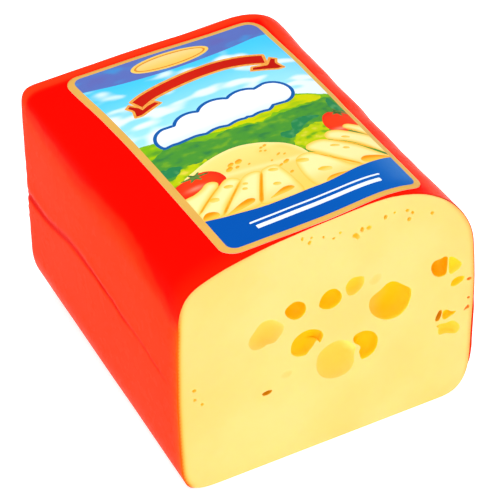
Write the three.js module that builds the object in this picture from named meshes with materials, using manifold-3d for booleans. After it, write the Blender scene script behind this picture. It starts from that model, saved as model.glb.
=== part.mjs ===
// Half of a block of semi-hard loaf cheese, cut square across, in its red
// casing film with a plain printed label on top.
// Millimetres, +Z up. The cut face looks along -Y, the loaf's own end along +Y.
// The origin is under the middle of the block, on the surface it rests on.
import * as THREE from "three";
import * as BufferGeometryUtils from "three/addons/utils/BufferGeometryUtils.js";
import Module from "manifold-3d";

const wasm = await Module();
wasm.setup();

// ---------------------------------------------------------------- dimensions
const LENGTH = 110.8;      // cut face to the loaf's own end
const FILM = 0.5;          // casing film, stated thick enough to be a solid
const GAP = 0.3;           // clearance between neighbouring pieces
const LABEL_T = 0.2;       // label sheet
const END_ROUND = 4.0;     // rounding where the sides turn into the back end
const SECTION_POINTS = 112; // points round one cross-section, closer at its corners
const STRAIGHT_RINGS = 4;  // rings between the cut and the end rounding
const ROUND_RINGS = 4;     // rings across the end rounding
const CORE_Z = 42;         // height of the line the section rays start from

// Cross-section of the casing's inside at the cut, half-loaf seen from the
// front: [x, z], from the middle of the base round by the right side.
const CUT_SECTION = [
  [0, 0], [10, 0], [20, 0], [30, 0], [38, 0], [42.2, 0.2], [45.2, 1.2], [47.2, 3.0],
  [48.5, 5.3], [49.4, 8.2], [49.8, 11.5], [50.0, 16], [50.1, 22], [50.3, 29], [50.5, 36],
  [50.5, 42], [50.3, 47], [50.0, 51.5], [49.7, 55.5], [49.3, 59.5], [48.4, 63.6],
  [46.7, 67.8], [44.5, 71.6], [41.7, 75.0], [38.6, 77.9], [35.1, 80.4], [31.6, 82.4],
  [27.9, 83.9], [24.3, 84.9], [19.5, 85.7], [14, 85.9], [8, 85.6], [1, 85.15],
  [-6, 84.75], [-12, 84.2], [-18, 83.6], [-23, 82.85], [-28, 82.0], [-33, 81.0],
  [-37.5, 79.8], [-40.8, 78.6], [-43.2, 77.5], [-45.2, 76.1], [-46.7, 74.4], [-47.8, 72.4],
  [-48.7, 69.9], [-49.25, 67], [-49.5, 63], [-49.8, 57], [-50.0, 50], [-50.1, 42],
  [-50.15, 34], [-50.1, 26], [-49.9, 18], [-49.65, 11], [-49.2, 7], [-48.1, 3.8],
  [-46.2, 1.8], [-43.4, 0.6], [-39.5, 0.1], [-35, 0], [-25, 0], [-12, 0],
];

// Cross-section of the casing's outside at the back end: four corners
// [x, z, how far the rounding reaches along each side].
const END_CORNERS = [
  [48.0, 0.0, 18.0], [48.0, 84.1, 24.0], [-47.3, 81.2, 6.4], [-47.3, 0.0, 19.0],
];

// Eyes that the cut has opened: [x, z, radius along x, radius along z, depth].
// Heights are above the surface the block rests on.
const EYES = [
  [-21.1, 51.2, 5.9, 5.5, 2.2], [-11.2, 56.7, 3.5, 3.2, 4.2], [0.4, 56.4, 3.7, 3.5, 4.4],
  [8.9, 57.9, 3.2, 3.4, 3.0], [21.1, 47.5, 7.1, 6.8, 6.4], [-7.4, 42.7, 5.4, 4.7, 5.0],
  [2.6, 32.1, 6.4, 6.6, 3.2], [12.8, 33.9, 4.1, 4.8, 4.8], [39.2, 52.8, 3.4, 3.8, 4.2],
  [43.4, 50.2, 2.5, 2.9, 2.2], [45.0, 45.1, 2.3, 1.3, 1.6], [40.9, 33.4, 2.9, 1.5, 2.6],
  [42.5, 28.0, 3.4, 2.2, 1.6], [-21.0, 28.9, 1.8, 0.9, 2.4], [11.4, 77.9, 1.5, 1.0, 1.0],
  [27.0, 76.2, 1.4, 1.1, 0.9],
];

// Label on the top: rectangle with rounded corners, a little wider towards
// the far end, front edge bowed slightly towards the cut. Y is measured back
// from the cut face; the side edges are [y, x].
const LABEL_LEFT_EDGE = [[0, -31.9], [50, -32.0], [70, -32.3], [85, -33.1], [105, -34.5]];
const LABEL_RIGHT_EDGE = [[0, 34.8], [60, 34.7], [80, 34.4], [105, 33.4]];
const LABEL_BACK = 104.5, LABEL_BACK_SKEW = -0.022;  // far edge, and its slope along x
const LABEL_FRONT = 0.5, LABEL_FRONT_BOW = 3.2;      // at the middle, more at the corners
const LABEL_CORNER = 5.0;
const LABEL_COLS = 18, LABEL_ROWS = 12;

// ------------------------------------------------------------------ sections
// Closed smooth curve through the cut section.
const cutCurve = new THREE.CatmullRomCurve3(
  CUT_SECTION.map(([x, z]) => new THREE.Vector3(x, 0, z)), true, "centripetal");
const cutInner = cutCurve.getPoints(SECTION_POINTS).slice(0, -1).map((p) => [p.x, Math.max(p.z, 0)]);

// Moves a closed counter-clockwise outline outwards by d along its normals.
function offset(section, d) {
  const n = section.length;
  return section.map(([x, z], i) => {
    const [ax, az] = section[(i + n - 1) % n], [bx, bz] = section[(i + 1) % n];
    const tx = bx - ax, tz = bz - az, len = Math.hypot(tx, tz);
    return [x + (d * tz) / len, z - (d * tx) / len];
  });
}

// The outside of the casing at the cut, standing on z = 0.
const cutOuter = offset(cutInner, FILM).map(([x, z]) => [x, Math.max(z + FILM, 0)]);

// Half-way between the casing's left and right sides, where x = 0 will lie.
const widths = cutOuter.map(([x]) => x);
const CENTRE_X = (Math.min(...widths) + Math.max(...widths)) / 2;

// The outside at the back end: straight sides with rounded corners, sampled on
// the same rays from the core line as the cut section.
const endOutline = [];
for (let i = 0; i < 4; i++) {
  const [px, pz, r] = END_CORNERS[i];
  const [ax, az] = END_CORNERS[(i + 3) % 4], [bx, bz] = END_CORNERS[(i + 1) % 4];
  const la = Math.hypot(ax - px, az - pz), lb = Math.hypot(bx - px, bz - pz);
  const corner = new THREE.QuadraticBezierCurve(
    new THREE.Vector2(px + ((ax - px) * r) / la, pz + ((az - pz) * r) / la),
    new THREE.Vector2(px, pz),
    new THREE.Vector2(px + ((bx - px) * r) / lb, pz + ((bz - pz) * r) / lb));
  for (const p of corner.getPoints(24)) endOutline.push([p.x, p.y]);
}

// Distance from the core line to a closed outline along direction (cx, cz).
function rayTo(outline, cx, cz) {
  let best = 0;
  for (let i = 0; i < outline.length; i++) {
    const [ax, az] = outline[i], [bx, bz] = outline[(i + 1) % outline.length];
    const ex = bx - ax, ez = bz - az, det = ex * cz - ez * cx;
    if (Math.abs(det) < 1e-12) continue;
    const qx = ax, qz = az - CORE_Z;
    const t = (ex * qz - ez * qx) / det, s = (cx * qz - cz * qx) / det;
    if (t > 0 && s >= -1e-9 && s <= 1 + 1e-9) best = Math.max(best, t);
  }
  return best;
}
const endOuter = cutOuter.map(([x, z]) => {
  const dx = x, dz = z - CORE_Z, len = Math.hypot(dx, dz);
  const t = rayTo(endOutline, dx / len, dz / len);
  return [(dx / len) * t, Math.max(CORE_Z + (dz / len) * t, 0)];
});

// Outside section at distance y behind the cut, before the end rounding.
const STRAIGHT = LENGTH - END_ROUND;
function outerAt(y) {
  const t = Math.min(1, y / STRAIGHT);
  return cutOuter.map(([x, z], i) => [x + (endOuter[i][0] - x) * t, z + (endOuter[i][1] - z) * t]);
}

// Rings of a block that lies d inside the casing's outside and stops d short
// of its back end. Each ring is a list of [x, y, z].
function rings(d) {
  const list = [];
  for (let k = 0; k <= STRAIGHT_RINGS; k++) {
    const y = (STRAIGHT * k) / STRAIGHT_RINGS;
    list.push(offset(outerAt(y), -d).map(([x, z]) => [x, y, z]));
  }
  const r = END_ROUND - d;
  for (let k = 1; k <= ROUND_RINGS; k++) {
    const a = (Math.PI / 2) * (k / ROUND_RINGS);
    const y = STRAIGHT + r * Math.sin(a);
    list.push(offset(outerAt(STRAIGHT), -(d + r * (1 - Math.cos(a)))).map(([x, z]) => [x, y, z]));
  }
  return list;
}

// ------------------------------------------------------------------- solids
function geometryFrom(points, faces) {
  const g = new THREE.BufferGeometry();
  g.setAttribute("position", new THREE.Float32BufferAttribute(
    points.flatMap(([x, y, z]) => [x - CENTRE_X, y - LENGTH / 2, z]), 3));
  g.setIndex(faces.flat());
  g.computeVertexNormals();
  return g;
}

// Joins consecutive rings with triangles. flip turns the faces the other way.
function joinRings(faces, starts, n, flip) {
  for (let k = 0; k + 1 < starts.length; k++) {
    for (let i = 0; i < n; i++) {
      const a = starts[k] + i, b = starts[k] + ((i + 1) % n);
      const c = starts[k + 1] + i, d = starts[k + 1] + ((i + 1) % n);
      if (flip) faces.push([a, b, c], [b, d, c]);
      else faces.push([a, c, b], [b, c, d]);
    }
  }
}

function addRings(points, list) {
  return list.map((ring) => { const s = points.length; points.push(...ring); return s; });
}

// Flat cap over one ring, as a fan from its middle.
function cap(points, faces, start, ring, flip) {
  const n = ring.length;
  const mid = [0, ring[0][1], CORE_Z];
  const m = points.length; points.push(mid);
  for (let i = 0; i < n; i++) {
    const a = start + i, b = start + ((i + 1) % n);
    faces.push(flip ? [m, b, a] : [m, a, b]);
  }
}

function solidBlock(d) {
  const points = [], faces = [], list = rings(d);
  const starts = addRings(points, list);
  joinRings(faces, starts, SECTION_POINTS, false);
  cap(points, faces, starts[0], list[0], false);
  cap(points, faces, starts[starts.length - 1], list[list.length - 1], true);
  return geometryFrom(points, faces);
}

function toManifold(geometry) {
  const g = geometry.clone();
  g.deleteAttribute("normal");
  if (g.getAttribute("uv")) g.deleteAttribute("uv");
  const merged = BufferGeometryUtils.mergeVertices(g, 1e-4);
  return new wasm.Manifold(new wasm.Mesh({
    numProp: 3,
    vertProperties: new Float32Array(merged.getAttribute("position").array),
    triVerts: new Uint32Array(merged.getIndex().array),
  }));
}

function fromManifold(solid) {
  const m = solid.getMesh();
  const g = new THREE.BufferGeometry();
  const xyz = new Float32Array((m.vertProperties.length / m.numProp) * 3);
  for (let i = 0; i < xyz.length / 3; i++)
    for (let k = 0; k < 3; k++) xyz[3 * i + k] = m.vertProperties[m.numProp * i + k];
  g.setAttribute("position", new THREE.BufferAttribute(xyz, 3));
  g.setIndex(new THREE.BufferAttribute(new Uint32Array(m.triVerts), 1));
  g.computeVertexNormals();
  return g;
}

// Cheese: one body, with the opened eyes hollowed out of the cut face. Each
// eye is a ball whose middle lies behind the face when it is deep.
function cheeseGeometry() {
  let body = toManifold(solidBlock(FILM + GAP));
  for (const [x, z, rx, rz, depth] of EYES) {
    const ry = Math.max(depth * 0.62, 0.8);
    const back = depth - ry;                   // centre behind the face
    const stretch = 1 / Math.sqrt(Math.max(1 - (back / ry) ** 2, 0.2));
    const ball = new THREE.SphereGeometry(1, 16, 8);
    ball.rotateX(Math.PI / 2);
    ball.scale(rx * stretch, ry, rz * stretch);
    ball.translate(x - CENTRE_X, -LENGTH / 2 + back, z);
    body = body.subtract(toManifold(ball));
  }
  return fromManifold(body);
}

// Casing film: a skin round the sides and the back end, open at the cut.
function casingGeometry() {
  const points = [], faces = [];
  const outer = rings(0), inner = rings(FILM);
  const so = addRings(points, outer), si = addRings(points, inner);
  joinRings(faces, so, SECTION_POINTS, false);
  joinRings(faces, si, SECTION_POINTS, true);
  cap(points, faces, so[so.length - 1], outer[outer.length - 1], true);
  cap(points, faces, si[si.length - 1], inner[inner.length - 1], false);
  for (let i = 0; i < SECTION_POINTS; i++) {   // rim at the cut
    const j = (i + 1) % SECTION_POINTS;
    faces.push([so[0] + i, so[0] + j, si[0] + j], [so[0] + i, si[0] + j, si[0] + i]);
  }
  return geometryFrom(points, faces);
}

// Height of the surface that lies d above the casing, over the point (x, y).
function heightAbove(x, y, d) {
  const section = offset(outerAt(y), d);
  let best = 0;
  for (let i = 0; i < section.length; i++) {
    const [ax, az] = section[i], [bx, bz] = section[(i + 1) % section.length];
    if ((ax - x) * (bx - x) > 0 || ax === bx) continue;
    best = Math.max(best, az + ((bz - az) * (x - ax)) / (bx - ax));
  }
  return best;
}

// Straight-line reading of a table of [y, x] points.
function edgeAt(table, y) {
  let k = 0;
  while (k + 2 < table.length && table[k + 1][0] < y) k++;
  const [y0, x0] = table[k], [y1, x1] = table[k + 1];
  return x0 + ((x1 - x0) * (y - y0)) / (y1 - y0);
}

// Label: a thin sheet that follows the crown of the block.
function labelGeometry() {
  const rows = [];
  const cornerSteps = [0, 0.12, 0.42, 1];
  for (const s of cornerSteps) rows.push([s * LABEL_CORNER, s]);
  const len = LABEL_BACK - LABEL_FRONT;
  for (let k = 1; k < LABEL_ROWS; k++)
    rows.push([LABEL_CORNER + ((len - 2 * LABEL_CORNER) * k) / LABEL_ROWS, 1]);
  for (const s of [...cornerSteps].reverse()) rows.push([len - s * LABEL_CORNER, s]);
  const points = [], faces = [], top = [], bottom = [];
  for (const [along, s] of rows) {
    const left = edgeAt(LABEL_LEFT_EDGE, LABEL_FRONT + along);
    const right = edgeAt(LABEL_RIGHT_EDGE, LABEL_FRONT + along);
    const mid = (left + right) / 2, half = (right - left) / 2;
    const pull = LABEL_CORNER * (1 - Math.sqrt(Math.max(0, 1 - (1 - s) ** 2)));
    const w = half - pull;
    const rt = [], rb = [];
    for (let i = 0; i <= LABEL_COLS; i++) {
      const u = -1 + (2 * i) / LABEL_COLS, x = mid + u * w;
      const bow = LABEL_FRONT_BOW * ((x - mid) / half) ** 2 * (1 - along / len);
      const y = LABEL_FRONT + along + bow + LABEL_BACK_SKEW * x * (along / len);
      rt.push(points.length); points.push([x, y, heightAbove(x, y, GAP + LABEL_T)]);
      rb.push(points.length); points.push([x, y, heightAbove(x, y, GAP)]);
    }
    top.push(rt); bottom.push(rb);
  }
  const R = rows.length - 1, C = LABEL_COLS;
  for (let r = 0; r < R; r++)
    for (let i = 0; i < C; i++) {
      faces.push([top[r][i], top[r][i + 1], top[r + 1][i + 1]], [top[r][i], top[r + 1][i + 1], top[r + 1][i]]);
      faces.push([bottom[r][i], bottom[r + 1][i + 1], bottom[r][i + 1]], [bottom[r][i], bottom[r + 1][i], bottom[r + 1][i + 1]]);
    }
  for (let r = 0; r < R; r++) {
    faces.push([top[r][0], top[r + 1][0], bottom[r + 1][0]], [top[r][0], bottom[r + 1][0], bottom[r][0]]);
    faces.push([top[r][C], bottom[r + 1][C], top[r + 1][C]], [top[r][C], bottom[r][C], bottom[r + 1][C]]);
  }
  for (let i = 0; i < C; i++) {
    faces.push([top[0][i], bottom[0][i + 1], top[0][i + 1]], [top[0][i], bottom[0][i], bottom[0][i + 1]]);
    faces.push([top[R][i], top[R][i + 1], bottom[R][i + 1]], [top[R][i], bottom[R][i + 1], bottom[R][i]]);
  }
  return geometryFrom(points, faces);
}

// ------------------------------------------------------------------ assembly
const block = new THREE.Group();

function piece(name, geometry, color, roughness, metalness = 0) {
  const mesh = new THREE.Mesh(geometry, new THREE.MeshStandardMaterial({ color, roughness, metalness }));
  mesh.name = name;
  block.add(mesh);
  return mesh;
}

piece("cheese_block", cheeseGeometry(), 0xfde98c, 0.55);
piece("casing_film", casingGeometry(), 0xf23018, 0.28);
piece("top_label", labelGeometry(), 0x3f8fd0, 0.35);

export default block;
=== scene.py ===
# Half of a block of loaf cheese, cut square across, in its red casing film
# with a plain printed label on the crown.
# Lengths below are millimetres in the model's frame until they are written
# into a mesh; Blender's own units are metres.
import math
import bpy
import numpy as np
from mathutils import Matrix, Vector
from mathutils.geometry import delaunay_2d_cdt


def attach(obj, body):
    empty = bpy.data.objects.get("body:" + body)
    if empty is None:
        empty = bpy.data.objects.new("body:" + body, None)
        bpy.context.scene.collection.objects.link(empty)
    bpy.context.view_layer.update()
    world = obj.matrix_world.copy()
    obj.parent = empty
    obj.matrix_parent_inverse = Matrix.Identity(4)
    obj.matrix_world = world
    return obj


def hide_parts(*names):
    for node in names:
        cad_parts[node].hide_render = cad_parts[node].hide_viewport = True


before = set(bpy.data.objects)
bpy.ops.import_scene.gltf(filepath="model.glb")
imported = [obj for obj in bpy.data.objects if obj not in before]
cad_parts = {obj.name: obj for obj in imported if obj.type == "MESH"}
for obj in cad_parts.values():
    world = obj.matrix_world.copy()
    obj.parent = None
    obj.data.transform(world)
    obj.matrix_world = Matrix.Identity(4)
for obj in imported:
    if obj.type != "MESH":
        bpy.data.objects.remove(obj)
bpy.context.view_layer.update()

MM = 0.001
scene = bpy.context.scene

# ------------------------------------------------------------------ helpers


def lin(r, g, b):
    """sRGB 0-255 to linear."""
    out = []
    for c in (r, g, b):
        c = c / 255.0
        out.append(c / 12.92 if c <= 0.04045 else ((c + 0.055) / 1.055) ** 2.4)
    return np.array(out)


def smooth(a, b, x):
    t = np.clip((x - a) / (b - a), 0.0, 1.0)
    return t * t * (3 - 2 * t)


_rng = np.random.default_rng(11)
_perm = _rng.permutation(256)
_perm = np.concatenate([_perm, _perm, _perm])
_grad = _rng.normal(size=(256, 3))
_grad /= np.linalg.norm(_grad, axis=1)[:, None]


def noise(p, scale, seed=0.0):
    """Gradient noise, about -0.7 to 0.7. p is (..., 3) in mm, scale in mm."""
    s = np.broadcast_to(np.asarray(scale, float), (3,))
    q = np.asarray(p, float) / s + np.array([seed * 17.13, seed * 5.71, seed * 11.9])
    i = np.floor(q).astype(int)
    f = q - i
    w = f * f * f * (f * (f * 6 - 15) + 10)
    i &= 255
    out = 0.0
    for dx in (0, 1):
        for dy in (0, 1):
            for dz in (0, 1):
                h = _perm[_perm[_perm[i[..., 0] + dx] + i[..., 1] + dy] + i[..., 2] + dz]
                g = _grad[h]
                d = f - np.array([dx, dy, dz])
                k = (np.where(dx, w[..., 0], 1 - w[..., 0]) * np.where(dy, w[..., 1], 1 - w[..., 1])
                     * np.where(dz, w[..., 2], 1 - w[..., 2]))
                out = out + k * (g * d).sum(-1)
    return out


def noise2(u, v, scale, seed=0.0):
    return noise(np.stack([u, v, np.full_like(u, 3.7)], -1), scale, seed)


def catmull(points, per, closed=True):
    """Centripetal Catmull-Rom through the points, per samples to a segment."""
    P = np.asarray(points, float)
    n = len(P)
    out = []
    segs = n if closed else n - 1
    for i in range(segs):
        if closed:
            p0, p1, p2, p3 = P[(i - 1) % n], P[i], P[(i + 1) % n], P[(i + 2) % n]
        else:
            p1, p2 = P[i], P[i + 1]
            p0 = P[i - 1] if i else 2 * p1 - p2
            p3 = P[i + 2] if i + 2 < n else 2 * p2 - p1
        d0 = max(((p1 - p0) ** 2).sum() ** 0.25, 1e-4)
        d1 = max(((p2 - p1) ** 2).sum() ** 0.25, 1e-4)
        d2 = max(((p3 - p2) ** 2).sum() ** 0.25, 1e-4)
        t1 = ((p1 - p0) / d0 - (p2 - p0) / (d0 + d1) + (p2 - p1) / d1) * d1
        t2 = ((p2 - p1) / d1 - (p3 - p1) / (d1 + d2) + (p3 - p2) / d2) * d1
        for k in range(per):
            t = k / per
            out.append(p1 + t1 * t + (-3 * p1 + 3 * p2 - 2 * t1 - t2) * t ** 2
                       + (2 * p1 - 2 * p2 + t1 + t2) * t ** 3)
    if not closed:
        out.append(P[-1])
    return np.array(out)


def resample(poly, count, closed=True):
    P = np.asarray(poly, float)
    Q = np.vstack([P, P[:1]]) if closed else P
    s = np.concatenate([[0], np.cumsum(np.linalg.norm(np.diff(Q, axis=0), axis=1))])
    t = np.linspace(0, s[-1], count, endpoint=not closed)
    return np.stack([np.interp(t, s, Q[:, k]) for k in range(P.shape[1])], 1)


def offset2(P, d):
    """Closed counter-clockwise outline moved outwards by d."""
    a, b = np.roll(P, 1, axis=0), np.roll(P, -1, axis=0)
    t = b - a
    t /= np.linalg.norm(t, axis=1)[:, None]
    return P + d * np.stack([t[:, 1], -t[:, 0]], 1)


def inside(poly, q):
    """Points q (N,2) inside a closed outline, by crossings."""
    poly = np.asarray(poly, float)
    x, y = q[:, 0], q[:, 1]
    res = np.zeros(len(q), bool)
    a = poly
    b = np.roll(poly, -1, axis=0)
    for (ax, ay), (bx, by) in zip(a, b):
        if ay == by:
            continue
        c = (ay > y) != (by > y)
        if not c.any():
            continue
        xi = ax + (y - ay) * (bx - ax) / (by - ay)
        res ^= c & (x < xi)
    return res


def edge_distance(poly, q):
    """Distance of points q to a closed outline."""
    best = np.full(len(q), 1e9)
    a = np.asarray(poly, float)
    b = np.roll(a, -1, axis=0)
    for p0, p1 in zip(a, b):
        e = p1 - p0
        L = (e * e).sum()
        if L < 1e-12:
            continue
        t = np.clip(((q - p0) @ e) / L, 0, 1)
        d = np.hypot(q[:, 0] - p0[0] - t * e[0], q[:, 1] - p0[1] - t * e[1])
        best = np.minimum(best, d)
    return best


def cdt(loops, loose):
    """Constrained triangulation. Returns vertices, triangles, and for each
    loop the output indices of its points in order."""
    verts, edges, spans = [], [], []
    for loop in loops:
        k = len(verts)
        verts += [Vector((float(p[0]), float(p[1]))) for p in loop]
        edges += [(k + i, k + (i + 1) % len(loop)) for i in range(len(loop))]
        spans.append((k, len(loop)))
    verts += [Vector((float(p[0]), float(p[1]))) for p in loose]
    ov, _oe, of, ids, _e, _f = delaunay_2d_cdt(verts, edges, [], 0, 1e-6, True)
    back = {}
    for out, src in enumerate(ids):
        for s in src:
            back[s] = out
    where = [[back[k + i] for i in range(n)] for k, n in spans]
    return np.array([(v.x, v.y) for v in ov]), [tuple(f) for f in of], where


def make(name, verts, faces, material, smooth_shade=True, colours=None, corner=None, masks=None,
         uv=None, flat=None):
    """verts in mm. colours: (N,3) per point; corner: (loops,3); masks: name -> (N,)."""
    me = bpy.data.meshes.new(name)
    me.from_pydata([tuple(v) for v in (np.asarray(verts, float) * MM)], [], [tuple(int(i) for i in f) for f in faces])
    if smooth_shade:
        me.polygons.foreach_set("use_smooth", [True] * len(me.polygons))
    if flat is not None:
        me.polygons.foreach_set("use_smooth", [not f for f in flat])
    if colours is not None:
        at = me.color_attributes.new("tint", "FLOAT_COLOR", "POINT")
        at.data.foreach_set("color", np.hstack([colours, np.ones((len(colours), 1))]).astype(np.float32).ravel())
    if corner is not None:
        at = me.color_attributes.new("tint", "FLOAT_COLOR", "CORNER")
        at.data.foreach_set("color", np.hstack([corner, np.ones((len(corner), 1))]).astype(np.float32).ravel())
    for key, val in (masks or {}).items():
        at = me.attributes.new(key, "FLOAT", "POINT")
        at.data.foreach_set("value", np.asarray(val, np.float32))
    if uv is not None:
        layer = me.uv_layers.new(name="OFBake")
        loop_v = np.empty(len(me.loops), int)
        me.loops.foreach_get("vertex_index", loop_v)
        layer.data.foreach_set("uv", np.asarray(uv, np.float32)[loop_v].ravel())
    me.validate()
    me.update()
    ob = bpy.data.objects.new(name, me)
    scene.collection.objects.link(ob)
    me.materials.append(material)
    return ob


class Tree:
    """Small shorthand for building a material's nodes."""

    def __init__(self, name):
        self.mat = bpy.data.materials.new(name)
        self.mat.use_nodes = True
        self.nt = self.mat.node_tree
        self.nt.nodes.clear()
        self.out = self.nt.nodes.new("ShaderNodeOutputMaterial")
        self.bsdf = self.nt.nodes.new("ShaderNodeBsdfPrincipled")
        self.nt.links.new(self.bsdf.outputs[0], self.out.inputs["Surface"])
        self.coord = self.nt.nodes.new("ShaderNodeTexCoord").outputs["Object"]

    def put(self, socket, value):
        if isinstance(value, bpy.types.NodeSocket):
            self.nt.links.new(value, socket)
        else:
            socket.default_value = value

    def set(self, **kw):
        for key, val in kw.items():
            self.put(self.bsdf.inputs[key.replace("_", " ")], val)

    def math(self, op, a, b=0.0, c=0.0, clamp=False):
        n = self.nt.nodes.new("ShaderNodeMath")
        n.operation = op
        n.use_clamp = clamp
        for s, v in zip(n.inputs, (a, b, c)):
            self.put(s, v)
        return n.outputs[0]

    def mapping(self, vec, scale=(1, 1, 1), rot=(0, 0, 0), loc=(0, 0, 0)):
        n = self.nt.nodes.new("ShaderNodeMapping")
        self.put(n.inputs["Vector"], vec)
        n.inputs["Scale"].default_value = scale
        n.inputs["Rotation"].default_value = rot
        n.inputs["Location"].default_value = loc
        return n.outputs[0]

    def noise(self, mm, detail=2.0, rough=0.5, vec=None, distort=0.0):
        n = self.nt.nodes.new("ShaderNodeTexNoise")
        self.put(n.inputs["Vector"], self.coord if vec is None else vec)
        n.inputs["Scale"].default_value = 1000.0 / mm
        n.inputs["Detail"].default_value = detail
        n.inputs["Roughness"].default_value = rough
        n.inputs["Distortion"].default_value = distort
        return n.outputs["Fac"]

    def voronoi(self, mm, feature="F1", vec=None):
        n = self.nt.nodes.new("ShaderNodeTexVoronoi")
        n.feature = feature
        self.put(n.inputs["Vector"], self.coord if vec is None else vec)
        n.inputs["Scale"].default_value = 1000.0 / mm
        return n.outputs["Distance"]

    def ramp(self, fac, lo, hi, a=0.0, b=1.0):
        n = self.nt.nodes.new("ShaderNodeMapRange")
        n.clamp = True
        n.interpolation_type = "SMOOTHSTEP"
        self.put(n.inputs["Value"], fac)
        n.inputs["From Min"].default_value = lo
        n.inputs["From Max"].default_value = hi
        n.inputs["To Min"].default_value = a
        n.inputs["To Max"].default_value = b
        return n.outputs[0]

    def mix(self, fac, a, b, blend="MIX"):
        n = self.nt.nodes.new("ShaderNodeMix")
        n.data_type = "RGBA"
        n.blend_type = blend
        n.clamp_factor = True
        self.put(n.inputs[0], fac)
        for s, v in ((n.inputs[6], a), (n.inputs[7], b)):
            if not isinstance(v, bpy.types.NodeSocket):
                v = (float(v[0]), float(v[1]), float(v[2]), 1.0)
            self.put(s, v)
        return n.outputs[2]

    def attr(self, name, colour=False):
        n = self.nt.nodes.new("ShaderNodeAttribute")
        n.attribute_name = name
        return n.outputs["Color"] if colour else n.outputs["Fac"]

    def bump(self, height, mm, strength=1.0, normal=None):
        n = self.nt.nodes.new("ShaderNodeBump")
        n.inputs["Strength"].default_value = strength
        n.inputs["Distance"].default_value = mm * MM
        self.put(n.inputs["Height"], height)
        if normal is not None:
            self.put(n.inputs["Normal"], normal)
        return n.outputs[0]


# ------------------------------------------------------------ the body shape
LENGTH = 110.8
HALF = LENGTH / 2
END_ROUND = 3.2
STRAIGHT = LENGTH - END_ROUND
CORE_Z = 42.0
FILM_T = 0.17             # film as it looks at the cut
CHEESE_IN = 0.18          # cheese side at the cut, inside the film's outside
FILM_T_IN, CHEESE_IN_DEEP = 0.30, 0.50     # the same, behind the cut

CUT_SECTION = [
    [0, 0], [10, 0], [20, 0], [30, 0], [38, 0], [42.2, 0.2], [45.2, 1.2], [47.2, 3.0],
    [48.5, 5.3], [49.4, 8.2], [49.8, 11.5], [50.0, 16], [50.1, 22], [50.3, 29], [50.5, 36],
    [50.5, 42], [50.3, 47], [50.0, 51.5], [49.7, 55.5], [49.3, 59.5], [48.4, 63.6],
    [46.7, 67.8], [44.5, 71.6], [41.7, 75.0], [38.6, 77.9], [35.1, 80.4], [31.6, 82.4],
    [27.9, 83.9], [24.3, 84.9], [19.5, 85.7], [14, 85.9], [8, 85.6], [1, 85.15],
    [-6, 84.75], [-12, 84.2], [-18, 83.6], [-23, 82.85], [-28, 82.0], [-33, 81.0],
    [-37.5, 79.8], [-40.8, 78.6], [-43.2, 77.5], [-45.2, 76.1], [-46.7, 74.4], [-47.8, 72.4],
    [-48.7, 69.9], [-49.25, 67], [-49.5, 63], [-49.8, 57], [-50.0, 50], [-50.1, 42],
    [-50.15, 34], [-50.1, 26], [-49.9, 18], [-49.65, 11], [-49.2, 7], [-48.1, 3.8],
    [-46.2, 1.8], [-43.4, 0.6], [-39.5, 0.1], [-35, 0], [-25, 0], [-12, 0],
]
END_CORNERS = [(48.0, 0.0, 18.0), (48.0, 84.1, 24.0), (-47.3, 81.2, 5.2), (-47.3, 0.0, 19.0)]

M = 480                   # points round one ring
_inner = resample(catmull(CUT_SECTION, 12), M)
_inner[:, 1] = np.maximum(_inner[:, 1], 0)
cut_outer = offset2(_inner, 0.5)
cut_outer[:, 1] = np.maximum(cut_outer[:, 1] + 0.5, 0)
CX = (cut_outer[:, 0].min() + cut_outer[:, 0].max()) / 2

_end = []
for _i in range(4):
    _p = np.array(END_CORNERS[_i][:2])
    _r = END_CORNERS[_i][2]
    _a = np.array(END_CORNERS[(_i + 3) % 4][:2])
    _b = np.array(END_CORNERS[(_i + 1) % 4][:2])
    _s = _p + (_a - _p) / np.linalg.norm(_a - _p) * _r
    _e = _p + (_b - _p) / np.linalg.norm(_b - _p) * _r
    for _k in range(25):
        _t = _k / 24
        _end.append(_s * (1 - _t) ** 2 + 2 * _p * _t * (1 - _t) + _e * _t ** 2)
_end = np.array(_end)


def ray_to(outline, c):
    a, b = outline, np.roll(outline, -1, axis=0)
    e = b - a
    det = e[:, 0] * c[1] - e[:, 1] * c[0]
    ok = np.abs(det) > 1e-12
    qx, qz = a[:, 0], a[:, 1] - CORE_Z
    with np.errstate(divide="ignore", invalid="ignore"):
        t = (e[:, 0] * qz - e[:, 1] * qx) / det
        s = (c[0] * qz - c[1] * qx) / det
    ok &= (t > 0) & (s >= -1e-9) & (s <= 1 + 1e-9)
    return t[ok].max() if ok.any() else 0.0


end_outer = np.empty_like(cut_outer)
for _i, (_x, _z) in enumerate(cut_outer):
    _d = np.array([_x, _z - CORE_Z])
    _d /= np.linalg.norm(_d)
    _t = ray_to(_end, _d)
    end_outer[_i] = (_d[0] * _t, max(CORE_Z + _d[1] * _t, 0))
_k = np.array([1, 4, 6, 4, 1]) / 16.0     # eases the joins of the end's corners
for _ in range(2):
    end_outer = sum(w * np.roll(end_outer, s, axis=0) for w, s in zip(_k, (-2, -1, 0, 1, 2)))


def section(y):
    t = min(1.0, max(0.0, y / STRAIGHT))
    return cut_outer + (end_outer - cut_outer) * t


def normals2(P):
    t = np.roll(P, -1, axis=0) - np.roll(P, 1, axis=0)
    t /= np.linalg.norm(t, axis=1)[:, None]
    return np.stack([t[:, 1], -t[:, 0]], 1)


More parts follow.
